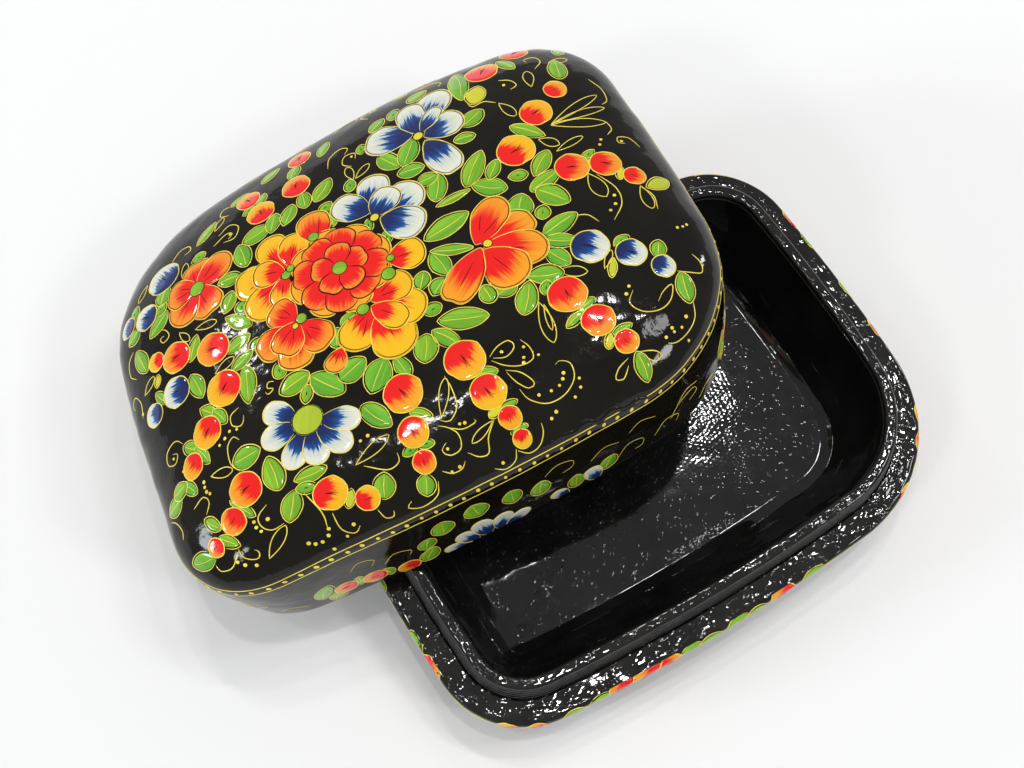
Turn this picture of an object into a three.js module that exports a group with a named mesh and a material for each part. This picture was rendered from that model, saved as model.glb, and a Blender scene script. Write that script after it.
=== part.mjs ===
// A two-piece trinket box of moulded papier-mache, shown as it stands open: the bowl sits flat
// and its lid leans across it, one far edge on the table. Millimetres, +Z up, origin at the
// middle of the bowl's foot, X along the length.
import * as THREE from 'three';

// Outline of the mouth, seen from above
const LENGTH = 150;
const WIDTH = 116;
const LONG_SIDE_RADIUS = 530;
const SHORT_SIDE_RADIUS = 515;
const TIGHT_CORNER = 24; // front left and back right
const WIDE_CORNER = 38; // the other two, as the mould isn't quite square

// Bowl
const LEDGE_HEIGHT = 20; // table to the ledge that the lid stands on
const BOWL_TUCK = 18; // how far the side draws in from rim to foot
const TUCK_POWER = 3; // higher keeps the side upright for longer
const LEDGE_WIDTH = 6.25;
const RIM_ROUND = 1.2;
const FLOOR_HEIGHT = 4.5; // table to the lined floor
const FLOOR_INSET = 9.5; // how far the floor stands in from the mouth of the cavity
const CAVITY_POWER = 1.8;

// Collar, a band of pasted paper that stands in the bowl's mouth and holds the lid
const COLLAR_RISE = 7.5; // above the ledge
const COLLAR_THICKNESS = 3.4;
const COLLAR_DRAFT = 1.5; // how far its outer face leans in over the rise
const COLLAR_SEAT = 10; // height of the step in the bowl that the collar stands on
const COLLAR_ROUND = 1;

// Lid
const LID_SKIRT = 24; // rim to the painted border
const LID_DOME = 20.5; // border to the crown
const DOME_POWER = 2.3; // 2 is an ellipse, higher is squarer at the shoulder
const LID_SWELL = 0.7; // how far the border stands out past the bowl's rim
const LID_RIM_INSET = 0.8;
const LID_FIT = 0.5; // room between the lid's inside and the collar
const LID_CROWN_WALL = 4;

// Linings of muslin, pasted in and lacquered
const LINING = 0.8;
const LINING_DROP = 1.6; // the wall lining starts this far under the collar's top
const LID_LINING_START = 10; // above the lid's rim, clear of the collar

// Where the lid lies: laid flat across the collar, then tipped
const LID_SHIFT_X = -32.3;
const LID_SHIFT_Y = 46.3;
const LID_TURN = -6.6; // degrees about the vertical

const GAP = 0.3; // between pieces that touch
const FLOOR_EASE = 0.2; // the floor lining stays this much inside the wall lining's foot

// Steps along each part of a quarter of the outline, and up each curve
const SHORT_STEPS = 3;
const CORNER_STEPS = 6;
const LONG_STEPS = 4;
const SIDE_STEPS = 7;
const CAVITY_STEPS = 5;
const BED_STEPS = 3;
const COLLAR_STEPS = 4;
const SKIRT_STEPS = 3;
const DOME_STEPS = 9;
const LINING_DOME_STEPS = 7;

const BLACK_LACQUER = { color: 0x0d0c0b, roughness: 0.22, metalness: 0 };
const RAW_EDGE_LACQUER = { color: 0x16130f, roughness: 0.35, metalness: 0 };
const LINED_LACQUER = { color: 0x121211, roughness: 0.3, metalness: 0 };

const HALF_ROUND = 1 - Math.SQRT1_2; // share of a radius left at the middle of a rounded edge

// The centre and the start and end angles of the arc that rounds the corner in +X +Y
function cornerArc(inset, radius) {
  const longCentre = WIDTH / 2 - LONG_SIDE_RADIUS;
  const shortCentre = LENGTH / 2 - SHORT_SIDE_RADIUS;
  const toLong = LONG_SIDE_RADIUS - radius;
  const toShort = SHORT_SIDE_RADIUS - radius;
  const span = Math.hypot(shortCentre, longCentre);
  const along = (toLong ** 2 - toShort ** 2 + span ** 2) / (2 * span);
  const off = Math.sqrt(toLong ** 2 - along ** 2);
  const x = (along * shortCentre + off * longCentre * -1) / span;
  const y = longCentre + (along * -longCentre + off * -shortCentre) / span;
  return {
    x,
    y,
    arc: radius - inset,
    start: Math.atan2(y, x - shortCentre),
    end: Math.atan2(y - longCentre, x),
  };
}

// A quarter of the outline, from the +X axis to just before the +Y axis
function quarter(inset, radius) {
  const corner = cornerArc(inset, radius);
  const longArc = LONG_SIDE_RADIUS - inset;
  const shortArc = SHORT_SIDE_RADIUS - inset;
  const points = [];
  for (let i = 0; i < SHORT_STEPS; i++) {
    const angle = (corner.start * i) / SHORT_STEPS;
    points.push([LENGTH / 2 - SHORT_SIDE_RADIUS + shortArc * Math.cos(angle), shortArc * Math.sin(angle)]);
  }
  for (let i = 0; i < CORNER_STEPS; i++) {
    const angle = corner.start + ((corner.end - corner.start) * i) / CORNER_STEPS;
    points.push([corner.x + corner.arc * Math.cos(angle), corner.y + corner.arc * Math.sin(angle)]);
  }
  for (let i = 0; i < LONG_STEPS; i++) {
    const angle = corner.end + ((Math.PI / 2 - corner.end) * i) / LONG_STEPS;
    points.push([longArc * Math.cos(angle), WIDTH / 2 - LONG_SIDE_RADIUS + longArc * Math.sin(angle)]);
  }
  return points;
}

// The whole outline at an inset from the bowl's rim, anticlockwise from the +X axis
function outline(inset, z) {
  const tight = quarter(inset, TIGHT_CORNER);
  const wide = quarter(inset, WIDE_CORNER);
  const top = [0, WIDTH / 2 - inset];
  const left = [-(LENGTH / 2 - inset), 0];
  const loop = [
    ...tight,
    top,
    ...wide.slice(1).reverse().map(([x, y]) => [-x, y]),
    left,
    ...tight.slice(1).map(([x, y]) => [-x, -y]),
    [top[0], -top[1]],
    ...wide.slice(1).reverse().map(([x, y]) => [x, -y]),
  ];
  return loop.map(([x, y]) => new THREE.Vector3(x, y, z));
}

// The same loop drawn towards its middle, for a crown
function drawnIn(loop, share, z) {
  return loop.map((p) => new THREE.Vector3(p.x * share, p.y * share, z));
}

// Loops that close over a dome, from its foot to just before the crown
function domeLoops(foot, rise, steps) {
  const loops = [];
  for (let i = 1; i < steps; i++) {
    const angle = (Math.PI / 2) * (i / steps);
    const share = Math.cos(angle) ** (2 / DOME_POWER);
    loops.push(drawnIn(foot, share, foot[0].z + rise * Math.sin(angle) ** (2 / DOME_POWER)));
  }
  return loops;
}

// A closed skin over loops of equal length. With ends, a point closes it at each end;
// without, the last loop joins the first.
function skin(loops, ends) {
  const count = loops[0].length;
  const positions = loops.flat().flatMap((p) => [p.x, p.y, p.z]);
  const faces = [];
  const spans = ends ? loops.length - 1 : loops.length;
  for (let i = 0; i < spans; i++) {
    const lower = i * count;
    const upper = ((i + 1) % loops.length) * count;
    for (let j = 0; j < count; j++) {
      const k = (j + 1) % count;
      faces.push(lower + j, lower + k, upper + k, lower + j, upper + k, upper + j);
    }
  }
  if (ends) {
    const first = positions.length / 3;
    positions.push(...ends.flat());
    const last = (loops.length - 1) * count;
    for (let j = 0; j < count; j++) {
      const k = (j + 1) % count;
      faces.push(first, k, j, first + 1, last + j, last + k);
    }
  }
  const geometry = new THREE.BufferGeometry();
  geometry.setAttribute('position', new THREE.Float32BufferAttribute(positions, 3));
  geometry.setIndex(faces);
  geometry.computeVertexNormals();
  return geometry;
}

function piece(name, geometry, finish) {
  const mesh = new THREE.Mesh(geometry, new THREE.MeshStandardMaterial(finish));
  mesh.name = name;
  return mesh;
}

const collarTop = LEDGE_HEIGHT + COLLAR_RISE;
const mouthInset = LEDGE_WIDTH + COLLAR_DRAFT + COLLAR_THICKNESS;
const liningBed = LINING + GAP;

// How far in the lined side of the cavity stands at a height
function cavityInset(z) {
  const depth = (collarTop - z) / (collarTop - FLOOR_HEIGHT);
  return mouthInset + FLOOR_INSET * depth ** CAVITY_POWER;
}

// How far in the outside of the bowl stands at a height
function bowlInset(z) {
  return BOWL_TUCK * ((LEDGE_HEIGHT - z) / LEDGE_HEIGHT) ** TUCK_POWER;
}

// Loops between two heights, at the inset that a function gives
function sweep(insetAt, from, to, steps) {
  const loops = [];
  for (let i = 0; i <= steps; i++) {
    const z = from + ((to - from) * i) / steps;
    loops.push(outline(insetAt(z), z));
  }
  return loops;
}

function bowl() {
  const bed = FLOOR_HEIGHT - liningBed;
  const loops = [
    ...sweep(bowlInset, 0, LEDGE_HEIGHT - RIM_ROUND, SIDE_STEPS),
    outline(RIM_ROUND * HALF_ROUND, LEDGE_HEIGHT - RIM_ROUND * HALF_ROUND),
    outline(RIM_ROUND, LEDGE_HEIGHT),
    outline(LEDGE_WIDTH, LEDGE_HEIGHT),
    outline(LEDGE_WIDTH, COLLAR_SEAT),
    ...sweep((z) => cavityInset(z + liningBed) - liningBed, COLLAR_SEAT, bed, BED_STEPS),
  ];
  return skin(loops, [[0, 0, 0], [0, 0, bed]]);
}

function collar() {
  const outer = LEDGE_WIDTH + GAP;
  const top = LEDGE_WIDTH + COLLAR_DRAFT;
  const inner = (z) => cavityInset(z + liningBed) - liningBed;
  const loops = [
    outline(outer, COLLAR_SEAT + GAP),
    outline(outer, LEDGE_HEIGHT),
    outline(top, collarTop - COLLAR_ROUND),
    outline(top + COLLAR_ROUND, collarTop),
    outline(mouthInset - COLLAR_ROUND, collarTop),
    outline(mouthInset, collarTop - COLLAR_ROUND),
    outline(mouthInset, collarTop - LINING_DROP + GAP),
    ...sweep(inner, collarTop - LINING_DROP, COLLAR_SEAT + GAP, COLLAR_STEPS),
  ];
  return skin(loops);
}

function wallLining() {
  const start = collarTop - LINING_DROP;
  const foot = FLOOR_HEIGHT + GAP;
  const loops = [
    ...sweep((z) => cavityInset(z) - LINING, foot, start - GAP, CAVITY_STEPS),
    ...sweep(cavityInset, start - GAP, foot, CAVITY_STEPS),
  ];
  return skin(loops);
}

function floorLining() {
  const inset = cavityInset(FLOOR_HEIGHT) - LINING + FLOOR_EASE;
  const underside = FLOOR_HEIGHT - LINING;
  const loops = [outline(inset, underside), outline(inset, FLOOR_HEIGHT)];
  return skin(loops, [[0, 0, underside], [0, 0, FLOOR_HEIGHT]]);
}

const lidInside = LEDGE_WIDTH - LID_FIT; // inset of the lid's inner wall
const innerCrown = LID_SKIRT + LID_DOME - LID_CROWN_WALL;

function lidShell() {
  const innerFoot = outline(lidInside, LID_SKIRT);
  const shoulder = outline(-LID_SWELL, LID_SKIRT);
  const swell = LID_RIM_INSET + LID_SWELL;
  const skirtInset = (z) => LID_RIM_INSET - swell * Math.sin((Math.PI / 2) * (z / LID_SKIRT));
  const loops = [
    ...domeLoops(innerFoot, innerCrown - LID_SKIRT, DOME_STEPS).reverse(),
    innerFoot,
    outline(lidInside, 0),
    outline(LID_RIM_INSET + RIM_ROUND, 0),
    ...sweep(skirtInset, RIM_ROUND, LID_SKIRT, SKIRT_STEPS),
    ...domeLoops(shoulder, LID_DOME, DOME_STEPS),
  ];
  return skin(loops, [[0, 0, innerCrown], [0, 0, LID_SKIRT + LID_DOME]]);
}

function lidLining() {
  const outerFoot = outline(lidInside + GAP, LID_SKIRT);
  const innerFoot = outline(lidInside + liningBed, LID_SKIRT);
  const outerCrown = innerCrown - GAP;
  const loops = [
    ...domeLoops(innerFoot, outerCrown - LINING - LID_SKIRT, LINING_DOME_STEPS).reverse(),
    innerFoot,
    outline(lidInside + liningBed, LID_LINING_START),
    outline(lidInside + GAP, LID_LINING_START),
    outerFoot,
    ...domeLoops(outerFoot, outerCrown - LID_SKIRT, LINING_DOME_STEPS),
  ];
  return skin(loops, [[0, 0, outerCrown - LINING], [0, 0, outerCrown]]);
}

// A loop laid flat where the lid lies before it tips
function laidFlat(loop) {
  const turn = THREE.MathUtils.degToRad(LID_TURN);
  const up = new THREE.Vector3(0, 0, 1);
  return loop.map((p) => p.clone().applyAxisAngle(up, turn).add(new THREE.Vector3(LID_SHIFT_X, LID_SHIFT_Y, 0)));
}

// The places where two flat loops cross
function crossings(first, second) {
  const found = [];
  for (let i = 0; i < first.length; i++) {
    const a = first[i];
    const b = first[(i + 1) % first.length];
    for (let j = 0; j < second.length; j++) {
      const c = second[j];
      const d = second[(j + 1) % second.length];
      const side = (b.x - a.x) * (d.y - c.y) - (b.y - a.y) * (d.x - c.x);
      const onFirst = ((c.x - a.x) * (d.y - c.y) - (c.y - a.y) * (d.x - c.x)) / side;
      const onSecond = ((c.x - a.x) * (b.y - a.y) - (c.y - a.y) * (b.x - a.x)) / side;
      if (onFirst >= 0 && onFirst < 1 && onSecond >= 0 && onSecond < 1) {
        found.push(new THREE.Vector3().lerpVectors(a, b, onFirst));
      }
    }
  }
  return found;
}

// The lid tips about the line through the two places where its inner rim crosses the collar,
// until its far edge meets the table
function leanLid(lid) {
  const rest = collarTop + GAP;
  const collarEdge = outline(LEDGE_WIDTH + COLLAR_DRAFT, 0);
  const [first, second] = crossings(laidFlat(outline(lidInside, 0)), collarEdge);
  const up = new THREE.Vector3(0, 0, 1);
  const centre = new THREE.Vector3(LID_SHIFT_X, LID_SHIFT_Y, 0);
  const low = new THREE.Vector3().subVectors(second, first).cross(up).normalize();
  if (low.dot(centre.clone().sub(first)) < 0) low.negate();
  const reach = Math.max(...laidFlat(outline(LID_RIM_INSET, 0)).map((p) => p.sub(first).dot(low)));
  const tip = Math.asin((rest - GAP) / reach);
  const tipping = new THREE.Quaternion().setFromAxisAngle(up.clone().cross(low), tip);
  const turning = new THREE.Quaternion().setFromAxisAngle(up, THREE.MathUtils.degToRad(LID_TURN));
  const arm = centre.sub(first).applyQuaternion(tipping);
  lid.quaternion.copy(tipping.multiply(turning));
  lid.position.set(first.x + arm.x, first.y + arm.y, rest + arm.z);
}

const base = new THREE.Group();
base.add(
  piece('base_bowl', bowl(), BLACK_LACQUER),
  piece('base_collar', collar(), RAW_EDGE_LACQUER),
  piece('base_wall_lining', wallLining(), LINED_LACQUER),
  piece('base_floor_lining', floorLining(), LINED_LACQUER),
);

const lid = new THREE.Group();
lid.add(
  piece('lid_shell', lidShell(), BLACK_LACQUER),
  piece('lid_lining', lidLining(), LINED_LACQUER),
);
leanLid(lid);

const group = new THREE.Group();
group.add(base, lid);
export default group;
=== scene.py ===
# A lacquered papier-mache trinket box, dressed over its solids: the bowl lies open and the painted
# lid leans across it. Shapes are worked out in millimetres and made in metres.
import math
import random

import bpy
import numpy as np
from mathutils import Matrix, Vector


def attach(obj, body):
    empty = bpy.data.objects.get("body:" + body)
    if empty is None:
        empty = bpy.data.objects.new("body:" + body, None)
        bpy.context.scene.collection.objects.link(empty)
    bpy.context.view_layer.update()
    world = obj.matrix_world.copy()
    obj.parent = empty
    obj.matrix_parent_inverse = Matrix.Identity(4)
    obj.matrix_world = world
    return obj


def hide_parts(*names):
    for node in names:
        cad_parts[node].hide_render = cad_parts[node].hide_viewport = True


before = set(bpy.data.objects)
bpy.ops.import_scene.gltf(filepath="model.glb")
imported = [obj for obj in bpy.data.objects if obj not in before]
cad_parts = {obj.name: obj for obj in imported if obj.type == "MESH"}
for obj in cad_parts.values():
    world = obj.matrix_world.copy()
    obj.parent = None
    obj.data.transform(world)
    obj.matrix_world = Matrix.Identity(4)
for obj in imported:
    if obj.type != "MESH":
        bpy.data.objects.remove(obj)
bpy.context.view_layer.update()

MM = 0.001

# Sizes of the solids, repeated here because their faces are rebuilt finer
LENGTH = 150
WIDTH = 116
LONG_SIDE_RADIUS = 530
SHORT_SIDE_RADIUS = 515
TIGHT_CORNER = 24
WIDE_CORNER = 38
LEDGE_HEIGHT = 20
BOWL_TUCK = 18
TUCK_POWER = 3
LEDGE_WIDTH = 6.25
RIM_ROUND = 1.2
FLOOR_HEIGHT = 4.5
FLOOR_INSET = 9.5
CAVITY_POWER = 1.8
COLLAR_RISE = 7.5
COLLAR_THICKNESS = 3.4
COLLAR_DRAFT = 1.5
COLLAR_SEAT = 10
COLLAR_ROUND = 1
LID_SKIRT = 24
LID_DOME = 20.5
DOME_POWER = 2.3
LID_SWELL = 0.7
LID_RIM_INSET = 0.8
LID_FIT = 0.5
LID_CROWN_WALL = 4
LINING = 0.8
LINING_DROP = 1.6
LID_LINING_START = 10
LID_TURN = -6.6
GAP = 0.3

COLLAR_TOP = LEDGE_HEIGHT + COLLAR_RISE
MOUTH_INSET = LEDGE_WIDTH + COLLAR_DRAFT + COLLAR_THICKNESS
LID_INSIDE = LEDGE_WIDTH - LID_FIT
INNER_CROWN = LID_SKIRT + LID_DOME - LID_CROWN_WALL

COLUMNS = 720  # places round the outline in the smooth meshes
GRITTY_COLUMNS = 1500  # and in the rough ones


# Camera and light


def aim(thing, place, target):
    thing.location = place
    thing.rotation_mode = "QUATERNION"
    thing.rotation_quaternion = (Vector(target) - Vector(place)).to_track_quat("-Z", "Y")


def from_target(target, azimuth, elevation, distance):
    """A place seen from the target at an azimuth, 0 on the -Y side, and a height angle, in degrees."""
    a = math.radians(azimuth)
    e = math.radians(elevation)
    out = Vector((math.sin(a) * math.cos(e), -math.cos(a) * math.cos(e), math.sin(e)))
    return Vector(target) + out * distance


# The camera, in metres and degrees, as fitted to the photo's outlines
LOOK_AT = Vector((-0.0186, 0.02584, 0.020))
CAMERA_AZIMUTH = -30.93
CAMERA_ELEVATION = 70
CAMERA_DISTANCE = 0.3489
LENS = 45.7


def make_camera():
    data = bpy.data.cameras.new("camera")
    data.lens = LENS
    data.clip_start = 0.01
    camera = bpy.data.objects.new("camera", data)
    bpy.context.scene.collection.objects.link(camera)
    place = from_target(LOOK_AT, CAMERA_AZIMUTH, CAMERA_ELEVATION, CAMERA_DISTANCE)
    aim(camera, place, LOOK_AT)
    bpy.context.scene.camera = camera


def lamp(name, azimuth, elevation, strength, angle, tint=(1, 1, 1)):
    """A far lamp, so that the floor is lit evenly. angle is how wide it looks, in degrees."""
    data = bpy.data.lights.new(name, "SUN")
    data.energy = strength
    data.angle = math.radians(angle)
    data.color = tint
    light = bpy.data.objects.new(name, data)
    bpy.context.scene.collection.objects.link(light)
    aim(light, from_target(LOOK_AT, azimuth, elevation, 1), LOOK_AT)


def make_lamps():
    lamp("right", 78, 61, 0.3, 10)
    lamp("front_right", 36, 42, 0.37, 9)
    lamp("front_left", -80, 38, 0.3, 8)
    lamp("over_floor", 129, 69.8, 0.2, 2.4)
    lamp("over_right", 104, 66, 0.14, 1.6)
    lamp("over_front", 112, 84, 0.32, 1.9)
    lamp("over_left", -124, 75, 0.17, 3)
    lamp("behind", 150, 67, 0.2, 3)
    lamp("low_left", -110, 18, 0.8, 14, (0.9, 0.96, 1))
    lamp("low_back", -156, 27, 0.14, 3)
    lamp("low_right", 95, 18, 0.25, 6)


def new_material(name):
    material = bpy.data.materials.new(name)
    material.use_nodes = True
    material.node_tree.nodes.clear()
    return material, material.node_tree


def link(tree, source, target):
    tree.links.new(source, target)


ROOM_DARK = 0.49
ROOM_GLOW = 0.03
GLOW_AZIMUTH = 121
GLOW_ELEVATION = 73
GLOW_SHARPNESS = 40
WALL_LIGHT = 0.5
WALL_TOP = 0.05  # sine of the height angle where the pale walls end
WALL_FADE = 0.32  # and where the dark above them is reached


def room_glow(tree):
    """How bright the room is in each direction: pale walls low down, and dark above them but for
    a wide glow on one side."""

    def step(operation, *values):
        node = tree.nodes.new("ShaderNodeMath")
        node.operation = operation
        for i, value in enumerate(values):
            if isinstance(value, bpy.types.NodeSocket):
                link(tree, value, node.inputs[i])
            else:
                node.inputs[i].default_value = value
        return node.outputs[0]

    view = tree.nodes.new("ShaderNodeTexCoord")
    facing = tree.nodes.new("ShaderNodeVectorMath")
    facing.operation = "DOT_PRODUCT"
    facing.inputs[1].default_value = from_target((0, 0, 0), GLOW_AZIMUTH, GLOW_ELEVATION, 1)
    link(tree, view.outputs["Generated"], facing.inputs[0])
    gathered = step("POWER", step("MAXIMUM", facing.outputs["Value"], 0), GLOW_SHARPNESS)
    ceiling = step("MULTIPLY_ADD", gathered, ROOM_GLOW, ROOM_DARK)
    height = tree.nodes.new("ShaderNodeSeparateXYZ")
    link(tree, view.outputs["Generated"], height.inputs[0])
    walls = tree.nodes.new("ShaderNodeMapRange")
    walls.interpolation_type = "SMOOTHSTEP"
    walls.inputs["From Min"].default_value = WALL_TOP
    walls.inputs["From Max"].default_value = WALL_FADE
    walls.inputs["To Min"].default_value = WALL_LIGHT
    walls.inputs["To Max"].default_value = 0
    link(tree, height.outputs["Z"], walls.inputs["Value"])
    return step("MAXIMUM", ceiling, walls.outputs["Result"])


STAGE_WHITE = 0.95
STAGE_REACH = 30.0  # from its middle to its edges, in metres


def floor_paper():
    material, tree = new_material("pale_floor")
    output = tree.nodes.new("ShaderNodeOutputMaterial")
    diffuse = tree.nodes.new("ShaderNodeBsdfDiffuse")
    diffuse.inputs["Color"].default_value = (STAGE_WHITE, STAGE_WHITE, STAGE_WHITE, 1)
    link(tree, diffuse.outputs[0], output.inputs["Surface"])
    return material


def make_stage():
    world = bpy.data.worlds.new("studio")
    bpy.context.scene.world = world
    world.use_nodes = True
    tree = world.node_tree
    tree.nodes.clear()
    output = tree.nodes.new("ShaderNodeOutputWorld")
    ambient = tree.nodes.new("ShaderNodeBackground")
    link(tree, room_glow(tree), ambient.inputs["Strength"])
    link(tree, ambient.outputs[0], output.inputs["Surface"])

    reach = STAGE_REACH
    mesh = bpy.data.meshes.new("floor")
    corners = [(-reach, -reach, 0), (reach, -reach, 0), (reach, reach, 0), (-reach, reach, 0)]
    mesh.from_pydata(corners, [], [(0, 1, 2, 3)])
    mesh.materials.append(floor_paper())
    floor = bpy.data.objects.new("floor", mesh)
    bpy.context.scene.collection.objects.link(floor)


# The outline of the mouth


def corner_arc(radius):
    """Centre of the arc that rounds the +X +Y corner, and the angles where it starts and ends."""
    long_centre = WIDTH / 2 - LONG_SIDE_RADIUS
    short_centre = LENGTH / 2 - SHORT_SIDE_RADIUS
    to_long = LONG_SIDE_RADIUS - radius
    to_short = SHORT_SIDE_RADIUS - radius
    span = math.hypot(short_centre, long_centre)
    along = (to_long**2 - to_short**2 + span**2) / (2 * span)
    off = math.sqrt(to_long**2 - along**2)
    x = (along * short_centre - off * long_centre) / span
    y = long_centre + (-along * long_centre - off * short_centre) / span
    return x, y, math.atan2(y, x - short_centre), math.atan2(y - long_centre, x)


def outline_arcs():
    """The eight arcs, anticlockwise from the +X side: centre, radius, first and last angle."""
    half = math.pi
    tx, ty, t_start, t_end = corner_arc(TIGHT_CORNER)
    wx, wy, w_start, w_end = corner_arc(WIDE_CORNER)
    long_y = WIDTH / 2 - LONG_SIDE_RADIUS
    short_x = LENGTH / 2 - SHORT_SIDE_RADIUS
    return np.array([
        (short_x, 0, SHORT_SIDE_RADIUS, -w_start, t_start),
        (tx, ty, TIGHT_CORNER, t_start, t_end),
        (0, long_y, LONG_SIDE_RADIUS, t_end, half - w_end),
        (-wx, wy, WIDE_CORNER, half - w_end, half - w_start),
        (-short_x, 0, SHORT_SIDE_RADIUS, half - w_start, half + t_start),
        (-tx, -ty, TIGHT_CORNER, half + t_start, half + t_end),
        (0, -long_y, LONG_SIDE_RADIUS, half + t_end, 2 * half - w_end),
        (wx, -wy, WIDE_CORNER, 2 * half - w_end, 2 * half - w_start),
    ])


ARCS = outline_arcs()
ARC_LENGTHS = ARCS[:, 2] * (ARCS[:, 4] - ARCS[:, 3])
ARC_ENDS = np.cumsum(ARC_LENGTHS)
PERIMETER = ARC_ENDS[-1]


def rim(travel, inset):
    """Points of the outline at distances round it, drawn in by an inset."""
    travel = np.mod(travel, PERIMETER)
    which = np.minimum(np.searchsorted(ARC_ENDS, travel, side="right"), len(ARCS) - 1)
    x, y, radius, first, last = ARCS[which].T
    start = ARC_ENDS[which] - ARC_LENGTHS[which]
    angle = first + (last - first) * (travel - start) / ARC_LENGTHS[which]
    out = np.stack([np.cos(angle), np.sin(angle)], -1)
    return np.stack([x, y], -1) + (radius - inset)[:, None] * out


def stations(columns):
    return np.arange(columns) * PERIMETER / columns


def ring(inset, z, columns=COLUMNS):
    travel = stations(columns)
    return np.column_stack([rim(travel, np.full(columns, float(inset))), np.full(columns, float(z))])


def cavity_inset(z):
    return MOUTH_INSET + FLOOR_INSET * ((COLLAR_TOP - z) / (COLLAR_TOP - FLOOR_HEIGHT)) ** CAVITY_POWER


def bowl_inset(z):
    return BOWL_TUCK * ((LEDGE_HEIGHT - z) / LEDGE_HEIGHT) ** TUCK_POWER


def skirt_inset(z):
    share = np.clip(z / LID_SKIRT, 0, 1)
    return LID_RIM_INSET - (LID_RIM_INSET + LID_SWELL) * np.sin(np.pi / 2 * share)


# Rows of a profile, as pairs of inset and height


def straight(start, end, steps):
    return [tuple(np.add(start, np.subtract(end, start) * i / steps)) for i in range(steps)]


def bend(centre, radius, first, last, steps):
    """Part of a circle, with angle 0 outward, which is towards a smaller inset, and 90 up."""
    angles = np.radians(first + (last - first) * np.arange(steps) / steps)
    return [(centre[0] - radius * math.cos(a), centre[1] + radius * math.sin(a)) for a in angles]


def climb(inset_at, low, high, steps):
    heights = low + (high - low) * np.arange(steps) / steps
    return [(float(inset_at(z)), float(z)) for z in heights]


def rings(rows, columns=COLUMNS):
    return np.stack([ring(inset, z, columns) for inset, z in rows])


def dome_rings(inset, foot_z, rise, steps):
    """Rings that close over a dome, from above its foot to just before the crown."""
    made = []
    foot = ring(inset, 0)
    for i in range(1, steps):
        angle = math.pi / 2 * i / steps
        share = math.cos(angle) ** (2 / DOME_POWER)
        height = foot_z + rise * math.sin(angle) ** (2 / DOME_POWER)
        made.append(foot * [share, share, 0] + [0, 0, height])
    return np.stack(made)


# Hand-made unevenness, as sums of waves, so that it joins up all the way round


def swell(points, wavelength, seed, waves=18):
    """A smooth random height over points in space, mostly within -1 to 1."""
    draw = random.Random(seed)
    total = np.zeros(points.shape[:-1])
    for _ in range(waves):
        way = Vector((draw.gauss(0, 1), draw.gauss(0, 1), draw.gauss(0, 1))).normalized()
        length = wavelength * draw.uniform(0.7, 1.6)
        total += np.sin(points @ np.array(way) * 2 * math.pi / length + draw.uniform(0, 2 * math.pi))
    return total / math.sqrt(waves)


def streaks(travel, depth, length, width, seed, waves=26):
    """A random height drawn out along the rim: length along it, width across it."""
    draw = random.Random(seed)
    total = np.zeros(np.broadcast(travel, depth).shape)
    for _ in range(waves):
        turns = round(PERIMETER / length * draw.uniform(0.3, 1.5))
        across = 2 * math.pi / width * draw.uniform(-1.3, 1.3)
        phase = draw.uniform(0, 2 * math.pi)
        total += np.sin(2 * math.pi * turns * travel / PERIMETER + across * depth + phase)
    return total / math.sqrt(waves)


def normals_of(grid):
    across = np.roll(grid, -1, 1) - np.roll(grid, 1, 1)
    normal = np.cross(across, np.gradient(grid, axis=0))
    return normal / np.maximum(np.linalg.norm(normal, axis=2, keepdims=True), 1e-9)


def push(grid, amount):
    """Moves each point of a grid outward by an amount in millimetres."""
    return grid + normals_of(grid) * np.asarray(amount)[..., None]


# Meshes


def add_object(name, points, faces, material, body):
    mesh = bpy.data.meshes.new(name)
    mesh.from_pydata((np.asarray(points) * MM).tolist(), [], faces)
    mesh.polygons.foreach_set("use_smooth", [True] * len(mesh.polygons))
    mesh.materials.append(material)
    mesh.update()
    made = bpy.data.objects.new(name, mesh)
    bpy.context.scene.collection.objects.link(made)
    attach(made, body)
    return made


def skin(grid, ends=None):
    """Points and faces of a closed skin over rings. With ends, a point closes it at each end."""
    rows, count = grid.shape[:2]
    points = grid.reshape(-1, 3)
    j = np.arange(count)
    k = (j + 1) % count
    faces = []
    for i in range(rows if ends is None else rows - 1):
        lower = i * count
        upper = ((i + 1) % rows) * count
        faces += np.column_stack([lower + j, lower + k, upper + k, upper + j]).tolist()
    if ends is not None:
        first = len(points)
        last = (rows - 1) * count
        points = np.vstack([points, ends])
        faces += np.column_stack([np.full(count, first), k, j]).tolist()
        faces += np.column_stack([np.full(count, first + 1), last + j, last + k]).tolist()
    return points, faces


# Finishes


VARNISH_ROUGHNESS = 0.07


def rgba(colour):
    """A colour with its alpha, or the socket that gives it."""
    return colour if isinstance(colour, bpy.types.NodeSocket) else (*colour, 1)


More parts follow.
